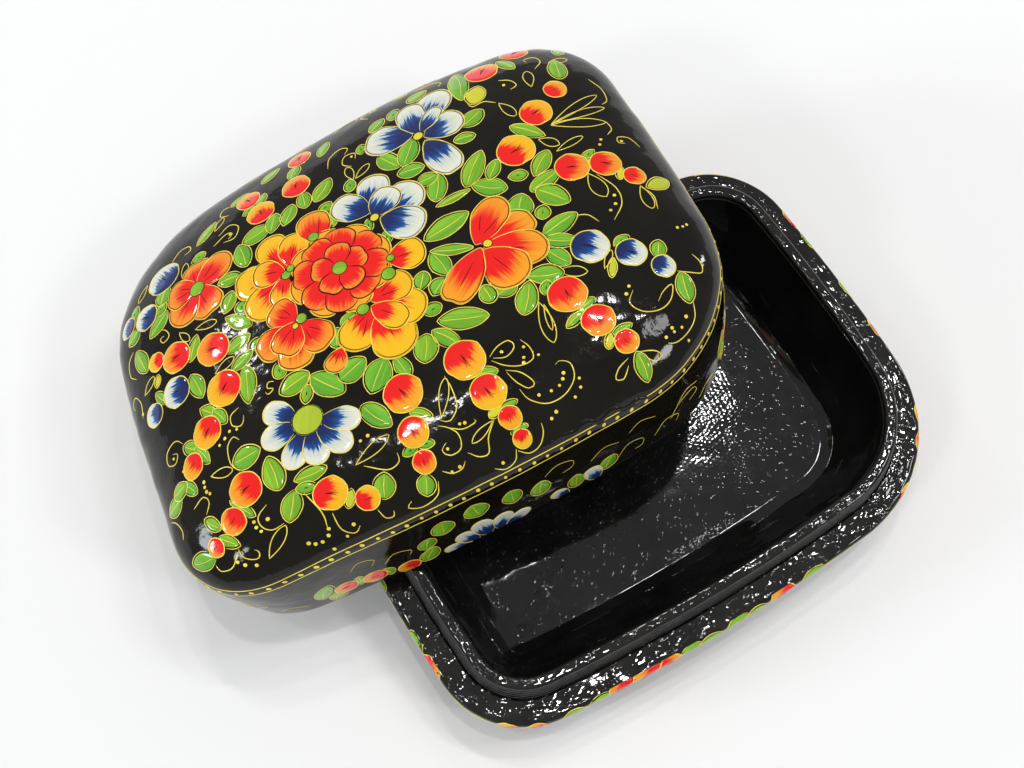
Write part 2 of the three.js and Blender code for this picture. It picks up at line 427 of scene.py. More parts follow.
class Nodes:
    """Short calls for building a node tree."""

    def __init__(self, name):
        self.material, self.tree = new_material(name)

    def add(self, kind, **settings):
        node = self.tree.nodes.new(kind)
        for key, value in settings.items():
            setattr(node, key, value)
        return node

    def feed(self, node, socket, value):
        if isinstance(value, bpy.types.NodeSocket):
            link(self.tree, value, node.inputs[socket])
        else:
            node.inputs[socket].default_value = value

    def math(self, operation, first, second=0.5, third=0.5):
        node = self.add("ShaderNodeMath", operation=operation)
        for i, value in enumerate((first, second, third)):
            self.feed(node, i, value)
        return node.outputs[0]

    def noise(self, where, scale, detail=3, roughness=0.5):
        node = self.add("ShaderNodeTexNoise")
        self.feed(node, "Vector", where)
        self.feed(node, "Scale", scale)
        self.feed(node, "Detail", detail)
        self.feed(node, "Roughness", roughness)
        return node.outputs["Fac"]

    def ramp(self, value, stops):
        node = self.add("ShaderNodeValToRGB")
        while len(node.color_ramp.elements) < len(stops):
            node.color_ramp.elements.new(0.5)
        for element, (place, colour) in zip(node.color_ramp.elements, stops):
            element.position = place
            element.color = (*colour, 1)
        self.feed(node, "Fac", value)
        return node.outputs["Color"]

    def blend(self, share, first, second):
        node = self.add("ShaderNodeMix", data_type="RGBA")
        self.feed(node, "Factor", share)
        self.feed(node, 6, rgba(first))
        self.feed(node, 7, rgba(second))
        return node.outputs[2]

    def bump(self, height, depth, strength=1.0, onto=None):
        node = self.add("ShaderNodeBump")
        self.feed(node, "Height", height)
        self.feed(node, "Distance", depth)
        self.feed(node, "Strength", strength)
        if onto is not None:
            self.feed(node, "Normal", onto)
        return node.outputs["Normal"]

    def place(self):
        return self.add("ShaderNodeTexCoord").outputs["Object"]

    def attribute(self, name, output="Fac"):
        """What the mesh keeps at each of its points under a name."""
        return self.add("ShaderNodeAttribute", attribute_name=name).outputs[output]

    def parts(self, vector):
        node = self.add("ShaderNodeSeparateXYZ")
        self.feed(node, 0, vector)
        return node.outputs

    def finish(self, colour, roughness, normal=None, coat=0.0, gloss=0.5):
        shader = self.add("ShaderNodeBsdfPrincipled")
        self.feed(shader, "Base Color", rgba(colour))
        self.feed(shader, "Roughness", roughness)
        self.feed(shader, "Specular IOR Level", gloss)
        self.feed(shader, "Coat Weight", coat)
        self.feed(shader, "Coat Roughness", VARNISH_ROUGHNESS)
        if normal is not None:
            self.feed(shader, "Normal", normal)
        output = self.add("ShaderNodeOutputMaterial")
        link(self.tree, shader.outputs[0], output.inputs["Surface"])
        return self.material


LACQUER_TONES = [(0.3, (0.0045, 0.0036, 0.0022)), (0.7, (0.010, 0.0082, 0.0052))]
RIM_TONES = [(0.35, (0.004, 0.0038, 0.0035)), (0.7, (0.014, 0.013, 0.0115))]
RIM_PATCHES = [(0.52, (0.05, 0.05, 0.05)), (0.7, (1, 1, 1))]  # where the grit is, in white
CLOTH_TONES = [(0.3, (0.004, 0.004, 0.004)), (0.75, (0.011, 0.011, 0.0105))]


def painted_lacquer():
    """The black ground under the flowers: brushed on, so its gloss waves a little."""
    n = Nodes("painted_lacquer")
    where = n.place()
    cloud = n.noise(where, 60, 4)
    colour = n.ramp(cloud, LACQUER_TONES)
    waves = n.bump(n.noise(where, 110, 2), 0.0006, 0.5)
    normal = n.bump(n.noise(where, 600, 2), 0.00008, 0.5, waves)
    roughness = n.math("MULTIPLY_ADD", n.noise(where, 240, 3), 0.08, 0.04)
    return n.finish(colour, roughness, normal, gloss=0.27)


def rim_lacquer():
    """The bare lacquered rim: grit in patches under a hard gloss, which glints."""
    n = Nodes("rim_lacquer")
    where = n.place()
    colour = n.ramp(n.noise(where, 180, 4), RIM_TONES)
    gritty = n.ramp(n.noise(where, 300, 2), RIM_PATCHES)
    lumps = n.math("MULTIPLY", n.noise(where, 620, 1, 0.5), gritty)
    normal = n.bump(lumps, 0.0001, 1)
    roughness = n.math("MULTIPLY_ADD", n.noise(where, 500, 3), 0.05, 0.01)
    return n.finish(colour, roughness, normal)


WEAVE_PITCH = 1.15
WEAVE_TURN = 41
WEAVE_STRAY = 6.0  # how far the threads wander, as an angle of their wave
WEAVE_DEPTH = 0.075


def cloth_lacquer():
    """Muslin under black lacquer: its threads show as rows of bumps where the coat is thin."""
    n = Nodes("cloth_lacquer")
    where = n.place()
    bent = n.add("ShaderNodeVectorRotate", rotation_type="Z_AXIS")
    n.feed(bent, "Vector", where)
    n.feed(bent, "Angle", math.radians(WEAVE_TURN))
    x, y, _ = n.parts(bent.outputs[0])
    turn = 2 * math.pi / (WEAVE_PITCH * MM)
    stray = n.noise(where, 420, 2)
    row = n.math("MULTIPLY_ADD", stray, WEAVE_STRAY, n.math("MULTIPLY", y, turn))
    along = n.math("MULTIPLY_ADD", stray, -2 * WEAVE_STRAY, n.math("MULTIPLY", x, turn * 0.7))
    half_row = n.math("COSINE", n.math("MULTIPLY", row, 0.5))
    staggered = n.math("MULTIPLY", n.math("COSINE", along), half_row)
    weave = n.math("MULTIPLY_ADD", n.math("COSINE", row), 0.6, n.math("MULTIPLY", staggered, 1.6))
    thin = n.attribute("thin")
    gritty = n.math("MULTIPLY", n.noise(where, 700, 2), n.math("MULTIPLY_ADD", thin, 0.35, 0.02))
    height = n.math("MULTIPLY_ADD", weave, n.math("MULTIPLY", thin, WEAVE_DEPTH), gritty)
    normal = n.bump(height, 0.00006, 1)
    colour = n.ramp(n.noise(where, 90, 4), CLOTH_TONES)
    roughness = n.math("MULTIPLY_ADD", n.noise(where, 400, 3), 0.06, 0.02)
    return n.finish(colour, roughness, normal)


def brush_marks(n, across_scale, along_scale):
    """Where a point is in its stroke of paint, and a noise drawn out along the stroke."""
    along, across, seed = n.parts(n.attribute("paint", "Vector"))
    where = n.add("ShaderNodeCombineXYZ")
    n.feed(where, 0, n.math("MULTIPLY", across, across_scale))
    n.feed(where, 1, n.math("MULTIPLY", along, along_scale))
    n.feed(where, 2, n.math("MULTIPLY", seed, 47.0))
    return along, across, seed, n.noise(where.outputs[0], 1.0, 4, 0.6)


def towards_tip(n, along, across, marks, spread):
    """How far a point is from the heart of the petal, with a feathered edge."""
    side = n.math("MULTIPLY", n.math("MULTIPLY", across, across), 0.28)
    feather = n.math("MULTIPLY", n.math("SUBTRACT", marks, 0.5), spread)
    return n.math("ADD", n.math("ADD", along, side), feather)


PAINT_ROUGHNESS = 0.4
BRUSH_DEPTH = 0.00005  # of the marks that the brush left, in metres


def varnished(n, colour, marks):
    """Brushed paint under a clear coat."""
    normal = n.bump(marks, BRUSH_DEPTH, 0.4)
    return n.finish(colour, PAINT_ROUGHNESS, normal, coat=1, gloss=0.1)


RED = (0.88, 0.004, 0.002)
SCARLET = (0.92, 0.04, 0.004)
ORANGE = (0.93, 0.21, 0.01)
PALE_ORANGE = (0.95, 0.34, 0.03)
AMBER = (0.95, 0.38, 0.005)
YELLOW = (0.95, 0.53, 0.005)
BLUES = [(0.30, (0.001, 0.012, 0.10)), (0.50, (0.001, 0.05, 0.24)), (0.58, (0.01, 0.14, 0.40))]
BLUE_TIPS = [(0.62, (0.56, 0.63, 0.60)), (0.9, (0.80, 0.80, 0.64))]
FRESH_GREENS = [(0.25, (0.17, 0.40, 0.012)), (0.5, (0.28, 0.56, 0.02)), (0.75, (0.46, 0.65, 0.03))]
COOL_GREENS = [(0.25, (0.10, 0.38, 0.02)), (0.5, (0.19, 0.53, 0.03)), (0.75, (0.35, 0.64, 0.06))]
RIPE_GREEN = (0.78, 0.68, 0.03)
GOLDS = [(0.3, (0.86, 0.60, 0.03)), (0.65, (0.98, 0.86, 0.10))]
DARKS = [(0.3, (0.008, 0.001, 0.001)), (0.7, (0.035, 0.004, 0.002))]


def petal_paint():
    n = Nodes("petal_paint")
    along, across, _, marks = brush_marks(n, 8.0, 1.0)
    heart = towards_tip(n, along, across, marks, 0.6)
    warm = n.ramp(heart, [(0.55, RED), (0.62, SCARLET), (0.72, ORANGE), (1, PALE_ORANGE)])
    bright = n.ramp(heart, [(0.45, RED), (0.52, SCARLET), (0.60, AMBER), (0.75, YELLOW)])
    return varnished(n, n.blend(n.attribute("edge"), warm, bright), marks)


def blue_paint():
    n = Nodes("blue_paint")
    along, across, _, marks = brush_marks(n, 9.0, 1.2)
    heart = towards_tip(n, along, across, marks, 0.8)
    return varnished(n, n.ramp(heart, BLUES + BLUE_TIPS), marks)


def leaf_paint():
    n = Nodes("leaf_paint")
    _, across, seed, marks = brush_marks(n, 5.0, 0.9)
    tone = n.math("ADD", n.math("MULTIPLY", across, 0.16), n.math("MULTIPLY", marks, 0.7))
    green = n.blend(seed, n.ramp(tone, FRESH_GREENS), n.ramp(tone, COOL_GREENS))
    return varnished(n, n.blend(n.attribute("edge"), green, RIPE_GREEN), marks)


def gold_paint():
    n = Nodes("gold_paint")
    colour = n.ramp(n.noise(n.place(), 300, 2), GOLDS)
    return n.finish(colour, 0.3, coat=0.5, gloss=0.3)


def dark_paint():
    n = Nodes("dark_paint")
    colour = n.ramp(n.noise(n.place(), 700, 2), DARKS)
    return n.finish(colour, 0.5, gloss=0.1)


# The lid's own frame, from its rim face, the widest flat face on the solid


def facing(face):
    return tuple(round(c, 2) for c in face.normal)


def lid_frame():
    """The lid's axes, as the columns of a matrix, and the middle of its rim face."""
    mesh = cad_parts["lid_shell"].data
    total = {}
    for face in mesh.polygons:
        area, middle = total.get(facing(face), (0.0, Vector()))
        total[facing(face)] = (area + face.area, middle + face.center * face.area)
    down, (area, middle) = max(total.items(), key=lambda item: item[1][0])
    rim_faces = [f for f in mesh.polygons if facing(f) == down]
    up = -sum((f.normal * f.area for f in rim_faces), Vector()).normalized()
    tip = Vector((0, 0, 1)).rotation_difference(up).to_matrix()
    turn = Matrix.Rotation(math.radians(LID_TURN), 3, "Z")
    return np.array(tip @ turn), np.array(middle / area) / MM


LID_AXES, LID_CENTRE = lid_frame()


def lid_placed(points):
    return points @ LID_AXES.T + LID_CENTRE


# The moulding isn't quite true: where its shoulder stands in or out, as the direction from the
# lid's middle and the reach round it in degrees, and how far, in millimetres
OUT_OF_TRUE = [(137, 20, -3.0), (62, 28, 3.2), (218, 12, 2.4)]
TRUE_SHARE = 0.35  # share of the way from its middle to its shoulder that is left as it is
BLEND_SHARE = 0.5  # and the share after that over which the shift grows to its full size


def moulded(points):
    """Points of the lid's outside, in its own frame, drawn in or pushed out."""
    x, y, z = np.moveaxis(points, -1, 0)
    angle = np.arctan2(y, x)
    reach = np.clip((np.hypot(x, y) / np.interp(angle, *BORDER) - TRUE_SHARE) / BLEND_SHARE, 0, 1)
    amount = np.zeros_like(angle)
    for middle, width, size in OUT_OF_TRUE:
        away = (np.degrees(angle) - middle + 180) % 360 - 180
        amount += size * np.exp(-((away / width) ** 2))
    amount *= reach**2 * (3 - 2 * reach) * np.clip(z / LID_SKIRT, 0, 1)
    return points + amount[..., None] * np.stack([np.cos(angle), np.sin(angle), 0 * angle], -1)


# Charts. Each turns flat places, in millimetres, into points of the painted surface.

POLAR_STEPS = 2880


def polar_radius(inset):
    """Distance from the middle to the outline as a table over the direction."""
    loop = rim(np.arange(POLAR_STEPS) * PERIMETER / POLAR_STEPS, np.full(POLAR_STEPS, float(inset)))
    angle = np.arctan2(loop[:, 1], loop[:, 0])
    order = np.argsort(angle)
    angle = angle[order]
    radius = np.hypot(loop[:, 0], loop[:, 1])[order]
    turns = (angle - 2 * np.pi, angle, angle + 2 * np.pi)
    return np.concatenate(turns), np.tile(radius, 3)


BORDER = polar_radius(-LID_SWELL)
MERIDIAN = np.linspace(0, np.pi / 2, 800)
MERIDIAN_OUT = np.sin(MERIDIAN) ** (2 / DOME_POWER)
MERIDIAN_UP = np.cos(MERIDIAN) ** (2 / DOME_POWER)


def meridian_lengths(radius):
    steps = np.hypot(np.diff(MERIDIAN_OUT * radius), np.diff(MERIDIAN_UP * LID_DOME))
    return np.concatenate([[0], np.cumsum(steps)])


MEAN_RADIUS = 70
MERIDIAN_SHARE = meridian_lengths(MEAN_RADIUS) / meridian_lengths(MEAN_RADIUS)[-1]
SAMPLE_RADII = np.linspace(50, 100, 30)
SAMPLE_LENGTHS = np.array([meridian_lengths(r)[-1] for r in SAMPLE_RADII])


def crown_chart(p, q):
    """The dome, unrolled from its crown: distance over the surface and direction are kept."""
    travel = np.hypot(p, q)
    angle = np.arctan2(q, p)
    radius = np.interp(angle, *BORDER)
    border = np.interp(radius, SAMPLE_RADII, SAMPLE_LENGTHS)
    share = np.minimum(travel / border, 1)
    out = np.interp(share, MERIDIAN_SHARE, MERIDIAN_OUT) * radius
    below = np.maximum(travel - border, 0)
    height = LID_SKIRT + LID_DOME * np.interp(share, MERIDIAN_SHARE, MERIDIAN_UP) - below
    out = np.where(below > 0, radius - LID_SWELL - skirt_inset(height), out)
    return lid_placed(moulded(np.stack([out * np.cos(angle), out * np.sin(angle), height], -1)))


def skirt_chart(s, h):
    """The lid's skirt: distance round the outline and height, and round under the lid's rim."""
    turn = np.clip((RIM_ROUND - h) / RIM_ROUND, 0, np.pi / 2)
    inset = skirt_inset(np.maximum(h, RIM_ROUND)) + RIM_ROUND * (1 - np.cos(turn))
    height = np.where(turn > 0, RIM_ROUND * (1 - np.sin(turn)), h)
    return lid_placed(moulded(np.column_stack([rim(s, inset), height])))


LEDGE_MARGIN = 0.15  # how far short of the ledge's flat the bowl's paint ends
PAST_EDGE = 0.02  # what is left of a distance beyond that


def bowl_chart(s, h):
    """The bowl's side: distance round the outline and height, up to the edge of its ledge."""
    top = LEDGE_HEIGHT - RIM_ROUND
    edge = top + RIM_ROUND * np.pi / 2 - LEDGE_MARGIN
    h = np.minimum(h, edge) + PAST_EDGE * np.maximum(h - edge, 0)
    turn = np.clip((h - top) / RIM_ROUND, 0, np.pi / 2)
    inset = bowl_inset(np.clip(h, 0, top)) + RIM_ROUND * (1 - np.cos(turn))
    height = np.where(turn > 0, top + RIM_ROUND * np.sin(turn), np.maximum(h, 0))
    return np.column_stack([rim(s, inset), height])


CHART_STEP = 0.05
LID_WAVE = 0.09
BOWL_WAVE = 0.06


def hand_made(points, wave):
    """How far a moulded surface stands out of its true shape."""
    return wave * (0.6 * swell(points, 16, 3) + 0.4 * swell(points, 7, 5))


def on_chart(chart, wave):
    """The chart with the surface's unevenness, which gives points and normals."""

    def placed(where):
        u, v = where[:, 0], where[:, 1]
        point = chart(u, v)
        along = chart(u + CHART_STEP, v) - chart(u - CHART_STEP, v)
        across = chart(u, v + CHART_STEP) - chart(u, v - CHART_STEP)
        normal = np.cross(along, across)
        normal /= np.linalg.norm(normal, axis=1, keepdims=True)
        return point + normal * hand_made(point, wave)[:, None], normal

    return placed


LID_TOP = on_chart(crown_chart, LID_WAVE)
LID_SIDE = on_chart(skirt_chart, LID_WAVE)
BOWL_SIDE = on_chart(bowl_chart, BOWL_WAVE)


# Paint, laid on a chart as thin closed shapes

SUNK = -0.25  # how far a shape's underside lies in the lacquer
CURVE_STEP = 0.8  # about how far apart the points of a curve are
PEN_STEP = 0.65  # and of a line that is drawn
TAPER = 0.35  # share of its width that an open line keeps at its ends
LAYER = 0.02  # how far a shape stands above the ones that it overlaps
PATCH_RINGS = [(1, SUNK), (1, 0.0), (0.94, 0.8), (0.72, 1.0), (0.46, 1.0), (0.2, 1.0)]  # size, height
STROKE_SIDES = [(-0.5, SUNK), (-0.22, 1.0), (0.22, 1.0), (0.5, SUNK)]  # place across, height


def at_height(share, height, lift=0.0):
    """A share of a shape's height, above its lift, or a depth in the lacquer if it is below 0."""
    return share if share < 0 else lift + share * height


class Coat:
    """All the shapes of one paint on one body, gathered into one mesh."""

    def __init__(self, name, body, slot, material):
        self.name = name
        self.body = body
        self.slot = slot
        self.material = material
        self.points = []
        self.faces = []
        self.paint = []
        self.edge = []
        self.count = 0

    def take(self, points, faces, paint, edge):
        self.faces += [tuple(self.count + i for i in face) for face in faces]
        self.points.append(points)
        self.paint.append(paint)
        self.edge.append(np.full(len(points), float(edge)))
        self.count += len(points)

    def make(self):
        points = np.vstack(self.points)
        made = add_object(self.name, points, self.faces, self.material, self.body)
        paint = made.data.attributes.new("paint", "FLOAT_VECTOR", "POINT")
        paint.data.foreach_set("vector", np.vstack(self.paint).astype(np.float32).ravel())
        edge = made.data.attributes.new("edge", "FLOAT", "POINT")
        edge.data.foreach_set("value", np.concatenate(self.edge).astype(np.float32))


dice = random.Random(11)


def patch(coat, surface, outline, local, height, lift=0.0, edge=0.0):
    """A blob of paint inside an outline on the chart. local holds each outline point's place
    along and across the stroke."""
    outline = np.asarray(outline, float)
    middle = outline.mean(0)
    heart = local.mean(0)
    seed = dice.random()
    loops = []
    paint = []
    for size, share in PATCH_RINGS:
        point, normal = surface(middle + (outline - middle) * size)
        loops.append(point + normal * at_height(share, height, lift))
        paint.append(heart + (local - heart) * size)
    point, normal = surface(middle[None])
    ends = [point[0] + normal[0] * at_height(share, height, lift) for share in (SUNK, 1.0)]
    points, faces = skin(np.stack(loops), ends)
    paint = np.vstack(paint + [heart, heart])
    paint = np.column_stack([paint, np.full(len(paint), seed)])
    coat.take(points, faces, paint, edge)


def smooth_path(points):
    """A smooth curve through all the points."""
    points = np.asarray(points, float)
    points = np.vstack([2 * points[0] - points[1], points, 2 * points[-1] - points[-2]])
    path = []
    for a, b, c, d in zip(points, points[1:], points[2:], points[3:]):
        count = max(2, int(np.linalg.norm(c - b) / CURVE_STEP))
        for t in np.arange(count) / count:
            path.append(0.5 * (2 * b + (c - a) * t + (2 * a - 5 * b + 4 * c - d) * t**2
                               + (3 * b - a - 3 * c + d) * t**3))
    path.append(points[-2])
    return np.array(path)


def stroke(coat, surface, path, width, rise, under, closed=False):
    """A raised line of paint that follows a path on the chart, over whatever lies under it.
    Open lines thin out at their ends."""
    count = len(path)
    if closed:
        ahead = np.roll(path, -1, 0) - np.roll(path, 1, 0)
        full = np.ones(count)
    else:
        ahead = np.gradient(path, axis=0)
        share = np.linspace(0, 1, count)
        full = TAPER + (1 - TAPER) * np.minimum(1, 6 * np.minimum(share, 1 - share))
    ahead /= np.maximum(np.linalg.norm(ahead, axis=1, keepdims=True), 1e-9)
    side = np.column_stack([ahead[:, 1], -ahead[:, 0]])
    points = []
    for across, share in STROKE_SIDES:
        point, normal = surface(path + side * (-across * width * full)[:, None])
        up = np.full(count, share) if share < 0 else under + share * rise
        points.append(point + normal * up[:, None])
    sides = len(STROKE_SIDES)
    points = np.stack(points, 1).reshape(-1, 3)
    faces = []
    for i in range(count if closed else count - 1):
        here = i * sides
        there = ((i + 1) % count) * sides
        for j in range(sides):
            k = (j + 1) % sides
            faces.append((here + k, there + k, there + j, here + j))
    if not closed:
        faces.append(tuple(range(sides))[::-1])
        faces.append(tuple(range((count - 1) * sides, count * sides)))
    coat.take(points, faces, np.zeros((len(points), 3)), 0)


def inside(points, outline):
    """Which points lie inside a closed outline."""
    x, y = points[:, 0][:, None], points[:, 1][:, None]
    x0, y0 = outline.T
    x1, y1 = np.roll(outline, -1, 0).T
    crossing = (y0 > y) != (y1 > y)
    slope = np.where(y1 == y0, 1, y1 - y0)
    return (crossing & (x < x0 + (y - y0) * (x1 - x0) / slope)).sum(1) % 2 == 1


def apart(first, second):
    """Whether the boxes round two sets of points don't meet."""
    return bool(np.any(first.min(0) > second.max(0)) or np.any(second.min(0) > first.max(0)))


def even_path(path, closed, steps=None):
    """The same path in a number of even steps, or in steps about as long as the pen's."""
    if closed:
        path = np.vstack([path, path[:1]])
    travel = np.concatenate([[0], np.cumsum(np.linalg.norm(np.diff(path, axis=0), axis=1))])
    steps = steps or max(3, int(round(travel[-1] / PEN_STEP)))
    where = np.arange(steps + (not closed)) * travel[-1] / steps
    return np.column_stack([np.interp(where, travel, path[:, i]) for i in (0, 1)])


def visible_runs(hidden, closed):
    """Stretches of places that aren't hidden, as lists of indices."""
    count = len(hidden)
    if not hidden.any():
        return [list(range(count))]
    start = int(np.argmax(hidden)) if closed else 0
    runs = []
    run = []
    for i in range(count):
        j = (start + i) % count
        if hidden[j]:
            if len(run) > 2:
                runs.append(run)
            run = []
        else:
            run.append(j)
    if len(run) > 2:
        runs.append(run)
    return runs


def blade(base, tip, width, widest=0.6, point=0.5, count=28, frill=0.0, notch=0.0):
    """Outline of a petal or leaf from its base to its tip, and the places along and across it."""
    base = np.asarray(base, float)
    axis = np.asarray(tip, float) - base
    length = np.linalg.norm(axis)
    axis /= length
    side = np.array([-axis[1], axis[0]])
    angle = np.arange(count) / count * 2 * np.pi
    share = (1 - np.cos(angle)) / 2
    bulge = 1 - (2 * share ** (math.log(0.5) / math.log(widest)) - 1) ** 2
    phase = dice.uniform(0, 2 * np.pi)
    ruffle = 1 + frill * np.sin(5 * angle + phase) + 0.6 * frill * np.sin(9 * angle + 2 * phase)
    across = np.sign(np.sin(angle)) * np.maximum(bulge, 0) ** point * ruffle
    pull = notch * np.clip(10 * share - 9, 0, 1) * np.exp(-((across / 0.4) ** 2))
    outline = base + np.outer((share - pull) * length, axis) + np.outer(across * width / 2, side)
    return outline, np.column_stack([share, across])


def disc(middle, radius, heading=0.0, count=22, frill=0.0):
    heading = math.radians(heading)
    reach = np.array([math.cos(heading), math.sin(heading)]) * radius
    foot, tip = np.subtract(middle, reach), np.add(middle, reach)
    return blade(foot, tip, 2 * radius, widest=0.5, count=count, frill=frill)


LINE = 0.5  # width of a fine brush line
EDGE_LINE = 0.85 * LINE  # and of one round a petal or leaf
LEAF_GAP = 0.35  # between a leaf and the line round it
# How high the shapes stand
PETAL = 0.07
BUD = 0.1
LEAF = 0.06
DOT = 0.12
FIRM = 0.05  # a line


BUD_SHARE = 0.93  # of a bud's radius, which takes in the line round it
SMALL_BUD = 3.4
SHORT_LEAF = 4.5  # up to this length, a dark mark stands for the midrib


def around(middle, angle, reach):
    """The place that lies at an angle, in degrees, and a distance from a middle."""
    angle = math.radians(angle)
    return np.array([middle[0] + reach * math.cos(angle), middle[1] + reach * math.sin(angle)])


class Painting:
    """One body's paint. Shapes are laid down one over another, and the part of a line that a later
    shape covers isn't drawn."""

    def __init__(self, body, slot, paints):
        self.coats = {key: Coat(f"{body}_{key}", body, slot, paint) for key, paint in paints.items()}
        self.shapes = []
        self.lines = []

    def fill(self, paint, surface, outline, local, height, edge=0.0):
        """Lays a shape down, just above the ones that it overlaps."""
        level = 0
        for other_surface, other, other_level, _ in self.shapes:
            if other_surface is surface and other_level >= level and not apart(outline, other):
                if inside(outline, other).any() or inside(other, outline).any():
                    level = other_level + 1
        lift = LAYER * level
        patch(self.coats[paint], surface, outline, local, height, lift, edge)
        self.shapes.append((surface, outline, level, lift + height))

    def pen(self, paint, surface, path, width=LINE, closed=False):
        """Keeps a line to draw once all the shapes are down."""
        path = even_path(np.asarray(path, float), closed)
        self.lines.append((paint, surface, path, width, closed, len(self.shapes)))

    def draw_lines(self):
        for paint, surface, path, width, closed, order in self.lines:
            hidden = np.zeros(len(path), bool)
            under = np.zeros(len(path))
            for i, (other_surface, outline, _, top) in enumerate(self.shapes):
                if other_surface is surface and not apart(path, outline):
                    covered = inside(path, outline)
                    if i >= order:
                        hidden |= covered
                    else:
                        under = np.maximum(under, covered * top)
            for run in visible_runs(hidden, closed):
                whole = closed and len(run) == len(path)
                stroke(self.coats[paint], surface, path[run], width, FIRM, under[run], whole)

    def make(self):
        self.draw_lines()
        for coat in self.coats.values():
            if coat.count:
                coat.make()

    def petal(self, surface, base, tip, width, yellow=0.0, blue=False,
              blush=1.0, edge="both", veins=1, notch=0.0):
        """edge is how the petal is drawn round: a gold line, a dark one inside it, or both."""
        shape, local = blade(base, tip, width, widest=0.62, count=34, frill=0.025, notch=notch)
        local[:, 0] *= blush
        self.fill("blue_petals" if blue else "warm_petals", surface, shape, local, PETAL, yellow)
        middle = shape.mean(0)
        if edge != "dark":
            self.pen("gold_lines", surface, middle + (shape - middle) * 1.02, EDGE_LINE, True)
        if edge == "both":
            first = dice.randrange(4, 12)
            some = middle + (shape - middle) * 0.95
            self.pen("dark_lines", surface, some[first:first + 20], LINE * 0.7)
        elif edge == "dark":
            self.pen("dark_lines", surface, middle + (shape - middle) * 0.98, LINE * 1.05, True)
        base, tip = np.asarray(base, float), np.asarray(tip, float)
        side = np.array([-(tip - base)[1], (tip - base)[0]]) * 0.07
        for i in range(veins):
            off = side * (2 * i - veins + 1)
            start, end = dice.uniform(0.2, 0.3), dice.uniform(0.5, 0.68)
            bends = [(start, 0.6), ((start + end) / 2, 1.4), (end, 2)]
            bent = [base + (tip - base) * share + off * spread for share, spread in bends]
            self.pen("dark_lines", surface, smooth_path(bent), LINE * 0.6)

    def bud(self, surface, middle, radius, heading, yellow=0.3, blue=False):
        radius = radius * BUD_SHARE
        shape, local = disc(middle, radius, heading, count=26, frill=0.03)
        local[:, 0] *= 0.95
        self.fill("blue_petals" if blue else "warm_petals", surface, shape, local, BUD, yellow)
        self.pen("gold_lines", surface, middle + (shape - middle) * 1.03, LINE, True)
        angle = heading + dice.uniform(-15, 15)
        for turn in (-24, 0, 24)[: 1 if radius < SMALL_BUD else 3]:
            ends = [around(middle, angle, -radius * 0.35), around(middle, angle + turn, radius * 0.12),
                    around(middle, angle + turn, radius * dice.uniform(0.3, 0.5))]
            self.pen("dark_lines", surface, smooth_path(ends), LINE * 0.4)

    def leaf(self, surface, middle, length, width, turn, ripe=0.0, midrib=True):
        middle = np.asarray(middle, float)
        foot, tip = around(middle, turn, -length / 2), around(middle, turn, length / 2)
        widest = dice.uniform(0.42, 0.55)
        shape, local = blade(foot, tip, width, widest, point=0.72, count=22, frill=0.02)
        self.fill("leaves", surface, shape, local, LEAF, ripe)
        away = shape - middle
        ring_path = shape + away / np.linalg.norm(away, axis=1)[:, None] * LEAF_GAP
        slip = [dice.uniform(-0.15, 0.15), dice.uniform(-0.15, 0.15)]
        self.pen("gold_lines", surface, ring_path + slip, EDGE_LINE, True)
        if midrib and length > SHORT_LEAF:
            bow = around((0, 0), turn + 90, length * dice.uniform(-0.05, 0.05))
            rib = [around(middle, turn, -length * 0.45), middle + bow, around(middle, turn, length * 0.4)]
            self.pen("gold_lines", surface, smooth_path(rib), LINE * 0.65)
        elif midrib:
            self.pen("dark_lines", surface, [around(middle, turn, -0.4), middle, around(middle, turn, 0.4)])

    def eye(self, surface, middle, radius, ripe=0.0):
        """The heart of a flower."""
        middle = np.asarray(middle, float)
        shape, local = disc(middle, radius, dice.uniform(0, 180), count=18)
        self.fill("leaves", surface, shape, local, PETAL, ripe)
        self.pen("dark_lines", surface, middle + (shape - middle) * 0.96, LINE * 0.6, True)

    def dot(self, surface, middle, radius=0.45):
        shape, local = disc(middle, radius, count=8)
        patch(self.coats["gold_lines"], surface, shape, local, DOT)

    def line(self, surface, points, width=LINE):
        self.pen("gold_lines", surface, smooth_path(points), width)

    def open_leaf(self, surface, base, tip, width):
        """A leaf that is only drawn round."""
        shape, _ = blade(base, tip, width, point=0.75, count=22)
        self.pen("gold_lines", surface, shape, EDGE_LINE, True)


# The lid's flowers, in millimetres on the crown chart, with q up the photo's left edge

HEART = (-10, 3)  # middle of the rosette
BACK_PETALS = 8
RING_PETALS = 8
INNER_PETALS = 5

